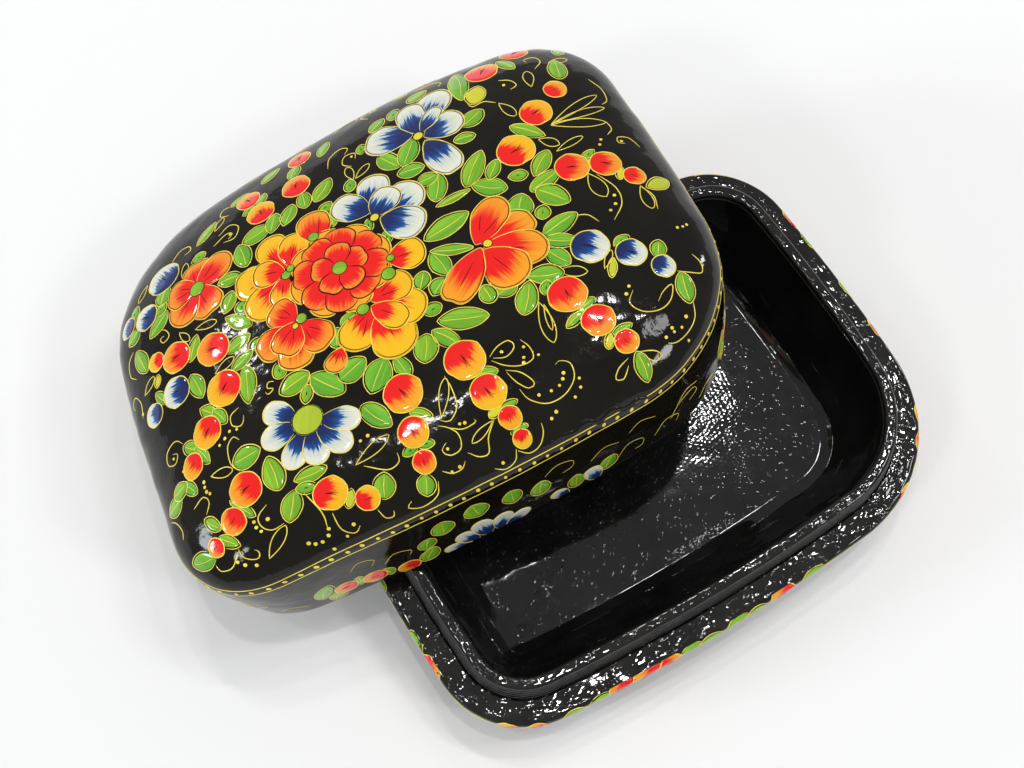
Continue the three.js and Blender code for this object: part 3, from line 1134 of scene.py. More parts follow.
# base, tip, width, how yellow the tip is
LOOSE_PETALS = [
    ((-22, 11), (-24.5, 23.3), 9.0, 1.0),
    ((-21, 11), (-16.2, 19.8), 8.5, 0.9),
    ((-24, 11), (-36.0, 13.0), 9.5, 1.0),
    ((-24, 8), (-35.0, 2.8), 9.5, 0.9),
    ((-23, 9), (-27.0, 1.0), 6.5, 0.8),
    ((-22.5, 10.5), (-30.5, 13.8), 7.8, 0.8),
    ((-24.5, -4.5), (-29.5, 2.0), 8.5, 0.1),
    ((-26, -6), (-36.3, -8.6), 8.5, 0.1),
    ((-25.5, -7), (-28.5, -17.0), 9.5, 0.3),
    ((-24, -6), (-19.0, -15.3), 8.5, 0.2),
    ((-24.5, -5), (-31.0, -12.0), 8.8, 0.2),
    ((-7, -12), (-16.0, -19.5), 9.5, 1.0),
    ((-6, -14), (-4.5, -27.8), 11.5, 1.0),
    ((-5, -12), (4.8, -19.0), 10.0, 1.0),
    ((-6.5, -10), (4.6, -9.0), 9.0, 0.9),
    ((-7, -11.5), (-0.5, -20.3), 7.0, 1.0),
    ((1.0, -1.2), (10.4, -3.0), 8.8, 1.0),
    ((-12.5, 13.5), (-11.5, 24.8), 9.0, 0.25),
    ((-45.5, 21), (-44.0, 30.2), 9.2, 0.15),
    ((-45.5, 21), (-34.8, 26.0), 9.2, 0.15),
    ((-45.5, 21), (-43.3, 10.5), 9.6, 0.15),
    ((-45.5, 21), (-54.0, 13.8), 9.0, 0.15),
    ((-45.5, 21), (-54.4, 23.6), 8.8, 0.15),
    ((22.5, -9), (37.0, -7.5), 9.0, 0.35),
    ((22.5, -10.5), (36.3, -17.5), 10.0, 0.35),
    ((22.5, -11), (27.5, -23.2), 11.0, 0.4),
    ((22, -10), (10.2, -21.0), 8.8, 0.35),
    ((21.5, -8.5), (32.0, 1.8), 8.8, 0.2),
]
# base, tip, width
PANSY_PETALS = [
    ((23, 34), (31.3, 45.5), 9.5),
    ((22.5, 30.5), (33.2, 31.5), 9.0),
    ((20, 33), (8.4, 39.0), 9.8),
    ((21.5, 32.5), (21.8, 45.2), 7.8),
    ((22.3, 32.5), (28.8, 38.6), 4.8),
    ((22.3, 29), (25.6, 14.6), 8.2),
    ((3, 17), (7.5, 26.8), 9.0),
    ((2.5, 15.5), (-5.6, 23.8), 9.0),
    ((5, 12.5), (16.2, 16.0), 10.5),
    ((4.2, 12), (12.5, 3.2), 10.0),
    ((2.5, 13.5), (10.4, 19.6), 8.4),
]
DAISY = (-30.5, -30)
DAISY_TIPS = [
    (-38.8, -22.3), (-41.6, -29.2), (-38.3, -38.2), (-32.3, -41.2), (-25.2, -41.8), (-20.3, -36.8),
]

# middle, radius, the way from red to yellow, how yellow
BUDS = [
    ((41, 13.5), 5.1, 25, 0.9), ((50, 23), 4.4, 30, 0.7), ((57.6, 29), 3.2, 30, 0.5),
    ((51.5, 2.5), 4.5, -25, 0.1), ((59.6, 0.5), 4.2, -20, 0.2), ((64.8, -5.5), 3.0, -40, 0.1),
    ((35, -31), 4.8, -75, 0.2), ((38.8, -40), 4.1, -70, 0.2), ((42.7, -47.2), 3.0, -60, 0.3),
    ((7.5, -36), 5.2, -65, 0.7), ((9.2, -45.5), 4.5, -75, 0.9), ((11.2, -53), 2.9, -80, 0.6),
    ((11.7, -58.5), 2.4, -90, 1.0), ((-9, -36.5), 5.0, -70, 0.5), ((-10.8, -46), 3.9, -80, 0.7),
    ((-11.7, -53.3), 2.9, -90, 0.3), ((-33.8, -48.5), 4.1, -40, 0.9), ((-27.3, -54), 3.0, 0, 0.9),
    ((-48.7, -36.5), 4.1, 190, 0.3), ((-54.3, -41.5), 3.3, 205, 0.2), ((-61.3, -44.5), 2.4, 200, 0.1),
    ((-47, -11), 4.9, 200, 0.8), ((-54.5, -19), 4.2, 215, 0.7), ((-60.8, -24.5), 3.3, 210, 0.6),
    ((-46.5, 1), 4.7, 170, 0.2), ((-56.5, 5.5), 4.4, 170, 0.3), ((-62.5, 8.5), 2.7, 170, 1.0),
    ((-24, 34.8), 4.3, 95, 0.8), ((-26.5, 43.2), 3.8, 110, 0.5), ((-12.7, 37.8), 4.3, 90, 0.1),
    ((-9.3, 50.2), 3.7, 80, 0.1), ((43, 45.3), 4.6, 60, 0.1), ((54, 50.5), 4.1, 50, 0.2),
    ((62.3, 54), 3.0, 40, 0.8), ((-7.5, 59), 2.8, 80, 0.5),
]
BLUE_BUDS = [
    ((45, -21.5), 4.8, -50), ((53, -27), 3.9, -50), ((58.6, -33), 3.1, -45),
    ((-59.5, -3.5), 4.3, 165), ((-68, -4.5), 3.3, 165), ((-62, 23.5), 3.9, 140),
    ((-69, 26), 3.2, 150), ((-55, 32.5), 5.2, 120), ((30, 57.5), 4.0, 80), ((37, 63), 3.0, 60),
]

# middle, length, width, turn
LEAVES = [
    ((-31.5, 22.5), 8, 4.6, 95), ((-26.5, 27), 8, 5.4, 5), ((-21.5, 28), 6.5, 3.8, 70),
    ((-36.6, 17.3), 6.2, 3.6, -10), ((-38.5, 10.8), 5.8, 3.4, 50), ((-36, 7.3), 3.4, 2.8, 60),
    ((-38, 4), 8, 3.6, -48), ((-40, -1.8), 7, 3.6, 8), ((-36, -5), 3.6, 2.5, 45),
    ((-40.5, -7), 6.5, 3, 18), ((-41, -13.5), 9.5, 4.4, 78), ((-32.5, -15), 3.6, 3.2, 100),
    ((-30, -20), 7.6, 5, 8), ((-23.5, -24.5), 9.5, 5.4, -58), ((-28.4, -24), 4.2, 2.4, 62),
    ((-17, -24.5), 7, 5.8, 15), ((-12.5, -29.3), 8.6, 6.4, 45), ((-6.5, -30.3), 6.4, 3.4, 100),
    ((-17.2, -14.5), 5, 3.4, 72), ((-13, -11.6), 4.2, 3, 25), ((0.4, -29), 7, 5.6, 62),
    ((6, -29), 8, 3.8, -55), ((11.5, -26), 11.6, 5.4, -20), ((6.5, -11.3), 5, 3.6, 62),
    ((9.5, -15), 4.8, 4.2, 40), ((6, -20.3), 4.2, 3.2, 5), ((12, -9), 8, 4.4, 100),
    ((17.5, 0.2), 12.2, 5.4, 10), ((16, -6.8), 10, 2.6, -24), ((19.5, 12.5), 8.4, 4.5, 65),
    ((29.6, 13.2), 11, 4.8, 50), ((22, 7.2), 9, 1.9, 4), ((31, 6), 8.6, 5, -35),
    ((33.8, 10.6), 6, 3, 50), ((12, 28.5), 7.4, 4.5, -62), ((17.4, 28.2), 8.4, 5, 55),
    ((16, 21.8), 6.4, 4.2, -15), ((18.5, 16.3), 4.6, 3.8, 0), ((35, 29), 6.4, 4.6, 25),
    ((31, 23.6), 5, 3, -10), ((45.8, 18.2), 9, 3.4, -42), ((45.2, 6.9), 8.4, 4, 45),
    ((38.5, 5.8), 4.4, 3, -15), ((44, 1.4), 9.4, 3.9, 20), ((43.6, -3.9), 8.6, 5.8, -52),
    ((35.5, -3), 6.8, 6, 60), ((39.3, -7.6), 3.8, 3.2, 60), ((41.5, -12.5), 9.6, 4.5, 15),
    ((40, -17.2), 8, 3.5, -27), ((37.2, -21), 6.4, 4.2, -60), ((32.5, -24), 8.2, 4.6, -20),
    ((26.4, -27.8), 8.4, 4.6, 60), ((31.3, -27.4), 3.4, 2.4, 60), ((23.2, -23.3), 5.2, 4, 10),
    ((18.8, -22.4), 4.8, 3.6, 95), ((61.3, 36.8), 8.4, 4.6, 80), ((56.9, 4.8), 4, 2, 30),
    ((52.2, -23.2), 4.2, 2.6, 20), ((59.4, -28.5), 4.8, 3.4, 60), ((61.4, -39.6), 7.6, 4.4, 82),
    ((37.7, -35.4), 5, 2.4, 20), ((34, -37.6), 5, 2, 25), ((42.9, -44.3), 4.8, 2, 12),
    ((44.3, -54), 7, 3.4, 95), ((10.6, -41.2), 5.6, 2.6, -12), ((12, -50.4), 4.4, 1.8, 8),
    ((12.2, -56.3), 4.2, 1.6, 5), ((-16.8, -38.2), 8.6, 4.6, -62), ((-7.4, -43), 5.2, 2.2, -38),
    ((-13.4, -49.5), 3.8, 1.9, 10), ((-9.3, -49.9), 3.8, 1.9, -20), ((-14, -58), 4.8, 4, 62),
    ((-22.6, -53.6), 5.6, 4.8, 60), ((-41.8, -36.8), 8, 4.4, 85), ((-46, -30), 6.8, 4.6, 0),
    ((-35.3, -42), 6.8, 3.2, -12), ((-42, -46), 7, 4, 52), ((-37.5, -44.2), 4.2, 2.4, -30),
    ((-51.3, -40), 6.8, 2.4, -58), ((-57.6, -44.9), 5.2, 2.5, -48), ((-59.5, -39.6), 4.6, 2.6, -50),
    ((-66.6, -45.5), 8, 4, -10), ((-52.6, -14.4), 5.4, 3.3, -48), ((-50.1, -17.2), 5.2, 2.8, -62),
    ((-59.8, -20.2), 5.2, 3.2, -40), ((-57.2, -23.6), 6, 2.6, -60), ((-69.8, -30.4), 6, 4, 8),
    ((-63, -29), 5.2, 2.6, -50), ((-66.4, -27.8), 5, 3.6, 10), ((-53.5, -5.9), 7.2, 4, 98),
    ((-51.2, 4.4), 6.8, 2.8, 56), ((-64.2, -2), 5.4, 2.4, -62), ((-67, 12.3), 7.6, 4.2, 100),
    ((-58.6, 18.3), 7.6, 3.8, 30), ((-57.2, 22.4), 3.8, 3.2, 20), ((-55.6, 26.2), 5.4, 4.4, 62),
    ((-67.4, 21), 4.6, 3.4, 20), ((-65.8, 28.2), 4.4, 2.8, 60), ((-43.7, 31.4), 4, 3.2, 10),
    ((-40.5, 39.4), 8, 2.8, 38), ((-28.8, 46.2), 6, 2.8, 20), ((-23, 40.4), 4.8, 3, 55),
    ((-27, 38.3), 3.6, 2.4, 20), ((7, 38), 3, 2.4, 80), ((13, 43.8), 4.8, 3.2, 30),
    ((18, 44.6), 4.4, 3, 65), ((25.5, 48), 5.6, 3.8, 20), ((36, 44), 14, 4.8, 80),
    ((49.6, 44.6), 6.6, 3, -68), ((-7.6, 24.2), 3.8, 2.6, 25), ((-7, 19.3), 5, 2.6, 80),
    ((0.6, 27.6), 3.8, 2.8, 70), ((-17, 28), 7, 4, 60), ((-6.5, 31), 8, 4.2, 45),
    ((-12, 30.8), 6, 3.6, 85), ((-12, 44.4), 5.6, 3.4, 60), ((0.6, 11.6), 4, 2, 80),
    ((3.4, 5.2), 4.4, 2.4, 65), ((-25, 2.3), 4, 3, 20), ((-18.5, 50), 6.4, 3, 30),
    ((-2, 48), 6, 3, 60), ((48, 57), 6, 3.2, 20), ((22, 56), 6, 3.2, 120), ((66, 47), 6, 3, 60),
]
RIPE_LEAVES = [
    ((38.4, 36.5), 6.4, 5, 60, 0.8), ((69.6, -9.4), 7, 3.8, 10, 0.5), ((61.8, -3.8), 4, 1.8, 60, 0.9),
    ((56.2, 1.8), 3, 2, 80, 0.9), ((39.2, -45.6), 3.8, 1.8, 60, 0.8), ((8.8, -50.3), 4, 2, 20, 0.9),
    ((47.3, -29), 5, 1.6, 62, 0.7), ((-63.8, 3.2), 3, 1.6, 60, 0.8), ((-30.8, -52), 4, 2, 50, 0.7),
]
# middle, radius
EYES = [
    ((-22.6, 9), 1.3), ((-21, 10.2), 1.1), ((-23.2, -5), 1.5), ((-9, -11.2), 1.6), ((0, -5.4), 1.9),
    ((-13, 16), 1.5), ((-45.6, 20.6), 2.3), ((2, -1.2), 1.1), ((-18.4, 6.5), 0.1),
]
YELLOW_EYES = [((-25.2, -6.2), 0.9), ((24, -9.6), 1.2), ((21.2, 31.6), 1.4), ((2.8, 13), 1.3)]

# A closed bud with plain ribs, at the foot of the rosette
CLOSED_BUD = ((-17.2, -17.8), (-21.5, -22.6), 5.4)

# Gold scrolls, as the points that each line passes
SCROLLS = [
    [(13, -38), (15.5, -36.4), (18.5, -36), (19.2, -38), (16.5, -39.6), (13.6, -38.6)],
    [(13, -39), (15.5, -41.5), (19, -43), (22, -42.4), (22.2, -39.5), (21, -37)],
    [(15, -42.5), (18, -44.5), (19.8, -48), (18, -48.6), (16, -46), (15, -43)],
    [(16, -48), (17, -51), (20.5, -53.5), (25, -53.2), (28.5, -50.5), (29, -47), (27, -45.5), (25.8, -46)],
    [(-5, -47.5), (-3, -49), (-1.5, -51.5), (-2.5, -54.5), (-5.5, -54.8), (-6.8, -53), (-5, -51.8)],
    [(-3, -49), (0, -50.8), (3.5, -50.6), (3.4, -49.9)],
    [(-4, -46.5), (-2, -47.8), (1, -45.5), (1.8, -41), (1.5, -37.5)],
    [(9.3, -60), (8, -62.5), (5, -63.4), (2.5, -62)],
    [(9.5, -60.5), (12, -62.3), (15, -61.6), (17, -59), (17.3, -57)],
    [(-1.5, -56), (0.5, -58), (3, -58.2), (4.5, -55), (7.5, -52)],
    [(-9, -57), (-7, -58.6), (-4.4, -58.6), (-3, -57.4)],
    [(44.5, -50.5), (48, -51.5), (49.4, -53), (47.5, -54), (45.2, -51.8)],
    [(41.5, -51), (38.6, -52.4), (37.2, -54.4), (39, -55), (41, -52.6)],
    [(49, -36.3), (47, -39), (49, -42), (53, -43), (56.5, -41.5), (58.5, -38), (55.6, -39), (53.4, -41)],
    [(62, -42), (61, -47), (58, -50), (54, -51.5), (51.8, -51)],
    [(60.5, -35), (64, -36.4), (67.5, -37.2), (68.3, -34.5), (67, -32)],
    [(46, -12), (48.5, -13), (50, -16)],
    [(56, -2), (58.5, -8), (57.5, -13), (53.5, -17)],
    [(65, -17.5), (66.2, -13), (64.6, -9.6)],
    [(66, 14.5), (66.4, 11.6), (64.4, 9.8)],
    [(45.4, 38.4), (48, 37), (49, 34.4), (47, 33.6)],
    [(-37, 35), (-33.6, 36.8), (-31, 34.4), (-32.6, 30.6), (-36, 31.2)],
    [(-39, 32), (-35, 34), (-33, 33), (-34.5, 31.5)],
    [(-60, 17), (-57.2, 15.2), (-56.6, 12.6), (-58.8, 12), (-59.4, 13.6), (-58, 13.8)],
    [
        (-62, -17.5), (-64, -15.4), (-67.6, -16.6), (-68.4, -19.6),
        (-65.8, -20.8), (-64.4, -18.8), (-66, -18),
    ],
    [(-44, -20.5), (-45, -22.6), (-47.5, -21.4), (-47.4, -18.8), (-44.8, -18)],
    [(-34.5, -16.8), (-36, -16.2), (-36.6, -17.6), (-35, -18.4), (-36.8, -19.2), (-37.2, -18.2)],
    [(-46.6, -25.5), (-48, -24), (-50, -25.6), (-50.2, -29.6), (-48.4, -32.2)],
    [(-46, -42.3), (-48.8, -43.6), (-49.4, -46), (-48, -48.2), (-45.2, -48.4)],
    [(-56.4, -46.8), (-56.6, -50), (-54.2, -52), (-53, -50.6), (-53.6, -49.8)],
    [(-38.4, -45), (-37.6, -51.4), (-38.6, -55)],
    [(-35.8, -52.6), (-36.3, -57), (-34.4, -59.4), (-32.4, -58.4)],
    [(-26.8, -57.4), (-26.4, -60), (-24.6, -60.6), (-23.8, -59.4)],
    [(-19, -59.6), (-20.6, -60.6), (-17.5, -62.2), (-13, -61.4), (-11, -58.6)],
    [(-24.5, -47.2), (-20, -50.8), (-16.8, -50.4), (-16.4, -48.4)],
    [(-63.4, -34), (-59.8, -32.8), (-58.4, -34.6), (-60.2, -36.8)],
    [(-73, -32.6), (-70.6, -34), (-69.4, -36.6), (-70.2, -38.4)],
    [(-72.5, -2), (-71.4, 2), (-73.2, 5.4), (-75.6, 4.6), (-75, 2.6)],
    [(-70.6, 9.4), (-72.6, 12), (-71.6, 15.6), (-68.8, 17.2)],
    [(-56.8, -48), (-60.4, -50.4), (-63.6, -49.6), (-63.8, -47.8)],
    [(-52, 37), (-49.4, 39.4), (-46.4, 39), (-46, 36.8), (-48, 36.4)],
    [(-33, 41.4), (-35.6, 43.2), (-34.4, 45.8), (-31.8, 45.2)],
    [(3, 34), (1, 36.4), (2.4, 39), (5.2, 38), (4.6, 36)],
    [(-3, 38), (-1.6, 41.6), (1.8, 43), (4, 41.4), (2.6, 39.8)],
    [(26, 51.6), (30, 52.4), (32.8, 50), (31.6, 47.8)],
    [(55.6, 38.6), (58.4, 41.6), (57.4, 44.6), (54.6, 44.4), (54.8, 42.6)],
    [(42, 31), (39.4, 33), (36.4, 32.6), (35.6, 34.4)],
    [(71, 4), (69.6, 7.6), (66.6, 8.4), (66, 6.4), (67.6, 5.8)],
    [(68, 31), (70.4, 27), (70, 22.6), (67.8, 21)],
    [(12, 50), (10.4, 53.2), (12.6, 55.4), (15.2, 54), (14, 52.4)],
    [(2, 54), (5.4, 56.8), (9.4, 56), (9, 53.6)],
    [(-20, 57), (-23, 55), (-26, 56), (-25.6, 58.2)],
]
# Leaves that are only drawn round: base, tip, width
OPEN_LEAVES = [
    ((52, 17.6), (67.8, 24.6), 2.6), ((52, 17.4), (66, 14.2), 3.0), ((53, 18), (68, 19.6), 2.4),
    ((42.6, 30.4), (45, 24), 2.6), ((52.2, 32), (53.2, 38.6), 2.8), ((47.4, 14.4), (51.6, 10.6), 2.8),
    ((50, 8.8), (58.2, 11.2), 2), ((54.2, -1), (55, -9.6), 4), ((64.6, -9), (63.8, -17), 3),
    ((35.4, -24.4), (41.6, -27.6), 2.8), ((28.4, -30), (27.6, -41), 3.2), ((29.2, -31), (28.4, -38), 1.2),
    ((7.2, -52), (0.4, -54.6), 1.9), ((-3.4, -46.2), (1.6, -38), 2.4), ((-26, -46), (-16.2, -43.8), 2.6),
    ((-52.4, -53.4), (-45.2, -49), 2.6), ((-56.2, -29.6), (-50, -31), 2.2),
    ((-49, 26.4), (-47.8, 32.6), 2.2),
    ((-53.6, 11.4), (-51.6, 7.4), 2), ((-49.2, 9.2), (-43, 7.8), 2.2), ((-69.2, 2.8), (-64.4, 5.4), 2.2),
    ((-48, -6), (-42, -4.6), 2.4), ((-38, 38), (-34.6, 42), 2), ((2, 29), (1.6, 34.6), 2.4),
    ((2.6, 29), (7.4, 31.6), 2.2), ((45.4, -28.6), (49, -24.6), 1.6), ((-60.4, 35), (-64, 31), 2),
    ((60, 40), (66, 41), 2.4), ((28, 62), (24, 66), 2), ((56.4, 56), (50, 61), 2.2),
]
# Gold dots
LOOSE_DOTS = [
    (16, -38), (20, -41.4), (19.5, -42.6), (21, -39), (23.3, -42.2), (19.5, -51), (22.5, -51.2),
    (24.7, -50.8), (26, -49.7), (26.7, -48.5), (29.5, -51), (29, -53), (27, -54.6), (-0.2, -49.4),
    (1, -49.7), (-5.4, -53.2), (51.8, -49.6), (54.2, -49), (56.5, -48.6), (58.5, -46.5), (54, -48),
    (57.5, -52), (54, -14), (56, -12.6),
    (57, -10), (-58.5, -29.8), (-58.6, -31), (-58.4, -32.2), (-57.6, -33), (-50.2, -44.2), (-50.4, -45.6),
    (-50, -47), (-58.5, -50), (-57.5, -51.5), (-55.5, -53), (-47.4, -45.4), (-44, -55.5), (-43, -56.5),
    (-41.5, -57), (-39.5, -56.5), (-38.5, -55.2), (-52, -24), (-48.6, -22.2), (-46.6, -22.8),
    (-50.2, -23.2), (-36.4, -59), (-33.4, -57.4), (-7, -58.2), (-4.8, -58), (67, -24), (68.6, -24),
    (70, -23.6), (-66, -19.2),
    (62, 8.6), (61, 7), (-33.8, 33), (4, 37.4), (46, 36), (13.4, 53.4), (67, 6.8), (-64, -24), (-41, -60),
    (5, -61.6), (20, -57), (21.6, -56), (48.6, -35), (47.2, -36.6), (-72, -1),
    (-20.6, -41.4), (-22.6, -41.6),
]

BORDER_GAP = 2.8  # between the two gold lines round the shoulder
BORDER_DOTS = 126
BORDER_DOT_RADII = (0.45, 0.6)
LOOSE_DOT_RADII = (0.36, 0.5)


def paint_rosette(art):
    surface = LID_TOP
    for i in range(BACK_PETALS):
        angle = 4 + 360 * i / BACK_PETALS
        foot, tip = around(HEART, angle, 4), around(HEART, angle, 13.4)
        art.petal(surface, foot, tip, 9, yellow=0.5, veins=0)
    for i in range(RING_PETALS):
        angle = 27 + 360 * i / RING_PETALS + dice.uniform(-4, 4)
        foot, tip = around(HEART, angle, 3), around(HEART, angle, 12.5 + dice.uniform(-0.4, 0.4))
        notch = dice.choice((0, 0.04, 0.07))
        art.petal(surface, foot, tip, 8.6, blush=0.78, edge="dark", veins=0, notch=notch)
    for i in range(INNER_PETALS):
        angle = 8 + 360 * i / INNER_PETALS + dice.uniform(-5, 5)
        foot, tip = around(HEART, angle, 0.5), around(HEART, angle, 7.7)
        notch = dice.choice((0, 0.06))
        art.petal(surface, foot, tip, 6.8, blush=0.85, edge="dark", veins=0, notch=notch)
    art.eye(surface, HEART, 2.0, 0.1)


def paint_flowers(art):
    surface = LID_TOP
    for base, tip, width, yellow in LOOSE_PETALS:
        notch = dice.choice((0, 0, 0.03, 0.06))
        blush = 1.0 if yellow > 0.5 else 0.9
        art.petal(surface, base, tip, width, yellow, blush=blush, veins=dice.choice((1, 2)), notch=notch)
    for base, tip, width in PANSY_PETALS:
        art.petal(surface, base, tip, width, blue=True, veins=0, notch=dice.choice((0, 0.03)))
    for tip in DAISY_TIPS:
        base = np.array(DAISY) + np.subtract(tip, DAISY) * 0.22
        art.petal(surface, base, tip, 5.8, blue=True, edge="gold", veins=0)
    art.eye(surface, DAISY, 3.6, 0.45)
    art.dot(surface, np.add(DAISY, (0.9, -0.5)), 0.75)
    paint_rosette(art)
    for middle, radius in EYES:
        art.eye(surface, middle, radius, 0.1)
    for middle, radius in YELLOW_EYES:
        art.eye(surface, middle, radius, 1.0)
    base, tip, width = CLOSED_BUD
    art.petal(surface, base, tip, width, 0.1, blush=1.4, veins=3)


def paint_foliage(art):
    surface = LID_TOP
    for points in SCROLLS:
        art.line(surface, points)
    for base, tip, width in OPEN_LEAVES:
        art.open_leaf(surface, base, tip, width)
    for middle, length, width, turn in LEAVES:
        art.leaf(surface, middle, length, width, turn)
    for middle, length, width, turn, ripe in RIPE_LEAVES:
        art.leaf(surface, middle, length, width, turn, ripe, midrib=False)
    for middle, radius, heading, yellow in BUDS:
        art.bud(surface, np.array(middle, float), radius, heading, yellow)
    for middle, radius, heading in BLUE_BUDS:
        art.bud(surface, np.array(middle, float), radius, heading, blue=True)
    for middle in LOOSE_DOTS:
        art.dot(surface, np.array(middle, float), dice.uniform(*LOOSE_DOT_RADII))


def border_line(drop):
    """The way round the shoulder on the crown chart, a distance above the border."""
    angle = np.linspace(0, 2 * np.pi, 480, endpoint=False)
    reach = np.interp(np.interp(angle, *BORDER), SAMPLE_RADII, SAMPLE_LENGTHS) - drop
    return np.column_stack([reach * np.cos(angle), reach * np.sin(angle)])


def paint_border(art):
    for drop in (0.0, BORDER_GAP):
        art.pen("gold_lines", LID_TOP, border_line(drop), LINE * 1.1, True)
    for middle in even_path(border_line(BORDER_GAP / 2), True, BORDER_DOTS):
        nudge = np.array([dice.uniform(-0.2, 0.2), dice.uniform(-0.2, 0.2)])
        art.dot(LID_TOP, middle + nudge, dice.uniform(*BORDER_DOT_RADII))


# One spray of the lid's skirt, as distance round the outline and height. Leaves go on with their
# length, width and turn, buds with their radius, heading and how yellow they are, and blue petals
# have a base, a tip and a width.
SKIRT_SPRAYS = 4
SKIRT_LEAVES = [
    (325.5, 9.6, 7.6, 4.4, 60), (327.4, 4.6, 5.4, 4, 50), (334, 7.6, 5, 3, 80), (341, 5.6, 5, 3, 100),
    (352, 5, 7, 4.6, 60), (353, 11.4, 5.4, 4.2, 70), (358.4, 16, 6.6, 5.4, 80), (367.4, 17, 6.6, 5.8, 95),
    (376.4, 15, 6.4, 4.6, 85), (383.4, 12, 6.6, 4.6, 75), (392, 5.6, 6.4, 4, 80), (401, 6, 6, 4.4, 60),
]
SKIRT_BUDS = [(330.4, 7.2, 3.1, 180, 0.2), (337.6, 6, 3.3, 180, 0.1), (346, 3.4, 3.1, 190, 0.4)]
SKIRT_BLUES = [
    ((362.6, 0.2), (355.4, 3.2), 4.4), ((364, 0.2), (360.4, 7.8), 5.2), ((367, 0.2), (366.4, 10.4), 5.8),
    ((370, 0.2), (373, 8.6), 5.4), ((371.6, 0.2), (378.6, 4.4), 4.6), ((389, 0.2), (385.4, 5), 4.4),
    ((397, 0.2), (396.2, 8), 5),
]
SKIRT_SCROLLS = [
    [(302, 9), (305, 13), (310, 13.6), (311.5, 10.6), (308.6, 9.4)],
    [(312, 4.6), (315.6, 7), (319.6, 5.4)],
    [(334, 15), (337, 18), (340.4, 16), (338.8, 13)], [(341.6, 11), (345, 14.4), (349, 12.6), (348, 10)],
    [(385.4, 16.6), (389, 19), (393, 17.6), (392.4, 14.6), (389.6, 14)],
    [(397, 12), (401, 15), (405, 13.6)],
    [(403.4, 5), (407, 9.6), (411, 8.4), (410.4, 5), (408.4, 4.8)],
    [(408, 15.4), (411.4, 18), (415.4, 16)],
    [(414, 6), (417.6, 10.6), (421.6, 8.6), (420.6, 5.6)], [(421.6, 13), (425, 16), (429, 14.6)],
]

# The same round the bowl's side, under its rim, for half of the way round
BOWL_CHAINS = 2
BAND_RISE = 1.5  # the band stands this much nearer the ledge than its motifs' places say
LEAF_STRETCH = 1.25
BUD_GROWTH = 1.15
# Stretches where less of the band shows from above: start, end and how far it dips
BAND_DIPS = [(285, 322, 1.2), (395, 490, 1)]
BOWL_LEAVES = [
    (256.6, 16, 6, 5, 40), (275.6, 16.2, 6.6, 5, -30), (291.5, 15.6, 7, 4.6, 20), (300, 16, 6.4, 4.6, -20),
    (325, 15.8, 6.6, 4.8, -15), (331.4, 16.4, 6, 4.4, 20), (357, 16.4, 6.8, 5, 15), (364, 16, 7, 4.8, -15),
    (371, 16.6, 6.6, 4.6, 20), (378, 16, 6, 4.4, -20), (394.6, 16.4, 6.4, 4.6, 15),
    (401.6, 16, 6.6, 4.6, -20), (421, 16, 6.6, 4.6, 20), (436.4, 16.2, 6.4, 4.6, -20),
    (459, 16, 6.6, 4.8, 15), (470, 16, 6.4, 4.6, -15),
    (486, 16.2, 6.4, 4.6, 20),
]
BOWL_BUDS = [
    (282.4, 15.6, 3.8, 0, 0.2), (307, 15.4, 3.8, 180, 0.6), (314.4, 15.6, 3.6, 180, 0.3),
    (338, 16, 4.1, 200, 0.1), (345, 16.2, 4.2, 190, 0.5), (351.4, 15.8, 3.4, 0, 0.2),
    (385.4, 15.8, 3.9, 180, 0.4), (428.6, 15.6, 3.9, 0, 0.7),
    (443.6, 15.6, 4, 180, 0.2), (451.4, 15.6, 3.8, 0, 0.5), (478, 15.8, 4, 0, 0.3),
]
BOWL_BLUES = [
    ((264, 10.6), (262.4, 19), 5), ((270, 10.6), (269, 19), 5), ((408.6, 10.4), (406.4, 18.6), 5),
    ((412, 10.4), (413, 18.6), 5),
]
BOWL_SCROLLS = [
    [(286, 9), (290, 11.6), (294, 9.6)], [(318, 9), (322, 11.4), (327, 9.4)],
    [(352, 9.4), (357, 11.6), (362, 9.4)], [(389, 9.6), (394, 11.4), (399, 9)],
    [(431, 9), (435.6, 11.4), (440, 9.4)], [(463, 9.4), (468, 11.4), (473, 9)],
]


def paint_band(art, surface, count, leaves, buds, blues, scrolls):
    """A band of flowers, drawn several times round an outline."""
    for i in range(count):
        on = PERIMETER * i / count
        for s, h, length, width, turn in leaves:
            art.leaf(surface, (s + on, h), length, width, turn)
        for s, h, radius, heading, yellow in buds:
            art.bud(surface, np.array([s + on, h]), radius, heading, yellow)
        for base, tip, width in blues:
            base, tip = np.add(base, (on, 0)), np.add(tip, (on, 0))
            art.petal(surface, base, tip, width, blue=True, edge="gold", veins=0)
        for points in scrolls:
            art.line(surface, [(s + on, h) for s, h in points], LINE * 0.5)


# Bodies of the box


def ledge_grit(travel, inset):
    """How far the rough ledge rises at a distance round the outline and an inset."""
    lumps = 0.04 * streaks(travel, inset, 9, 3.4, 20) + 0.01 * streaks(travel, inset, 7, 1.3, 21)
    return lumps + 0.006 * streaks(travel, inset, 14, 0.8, 22)


def collar_grit(travel, reach):
    return 0.02 * streaks(travel, reach, 6, 2, 32)


BED_INSET = 20  # of the flat bed under the floor's cloth
LEDGE_STEPS = 26


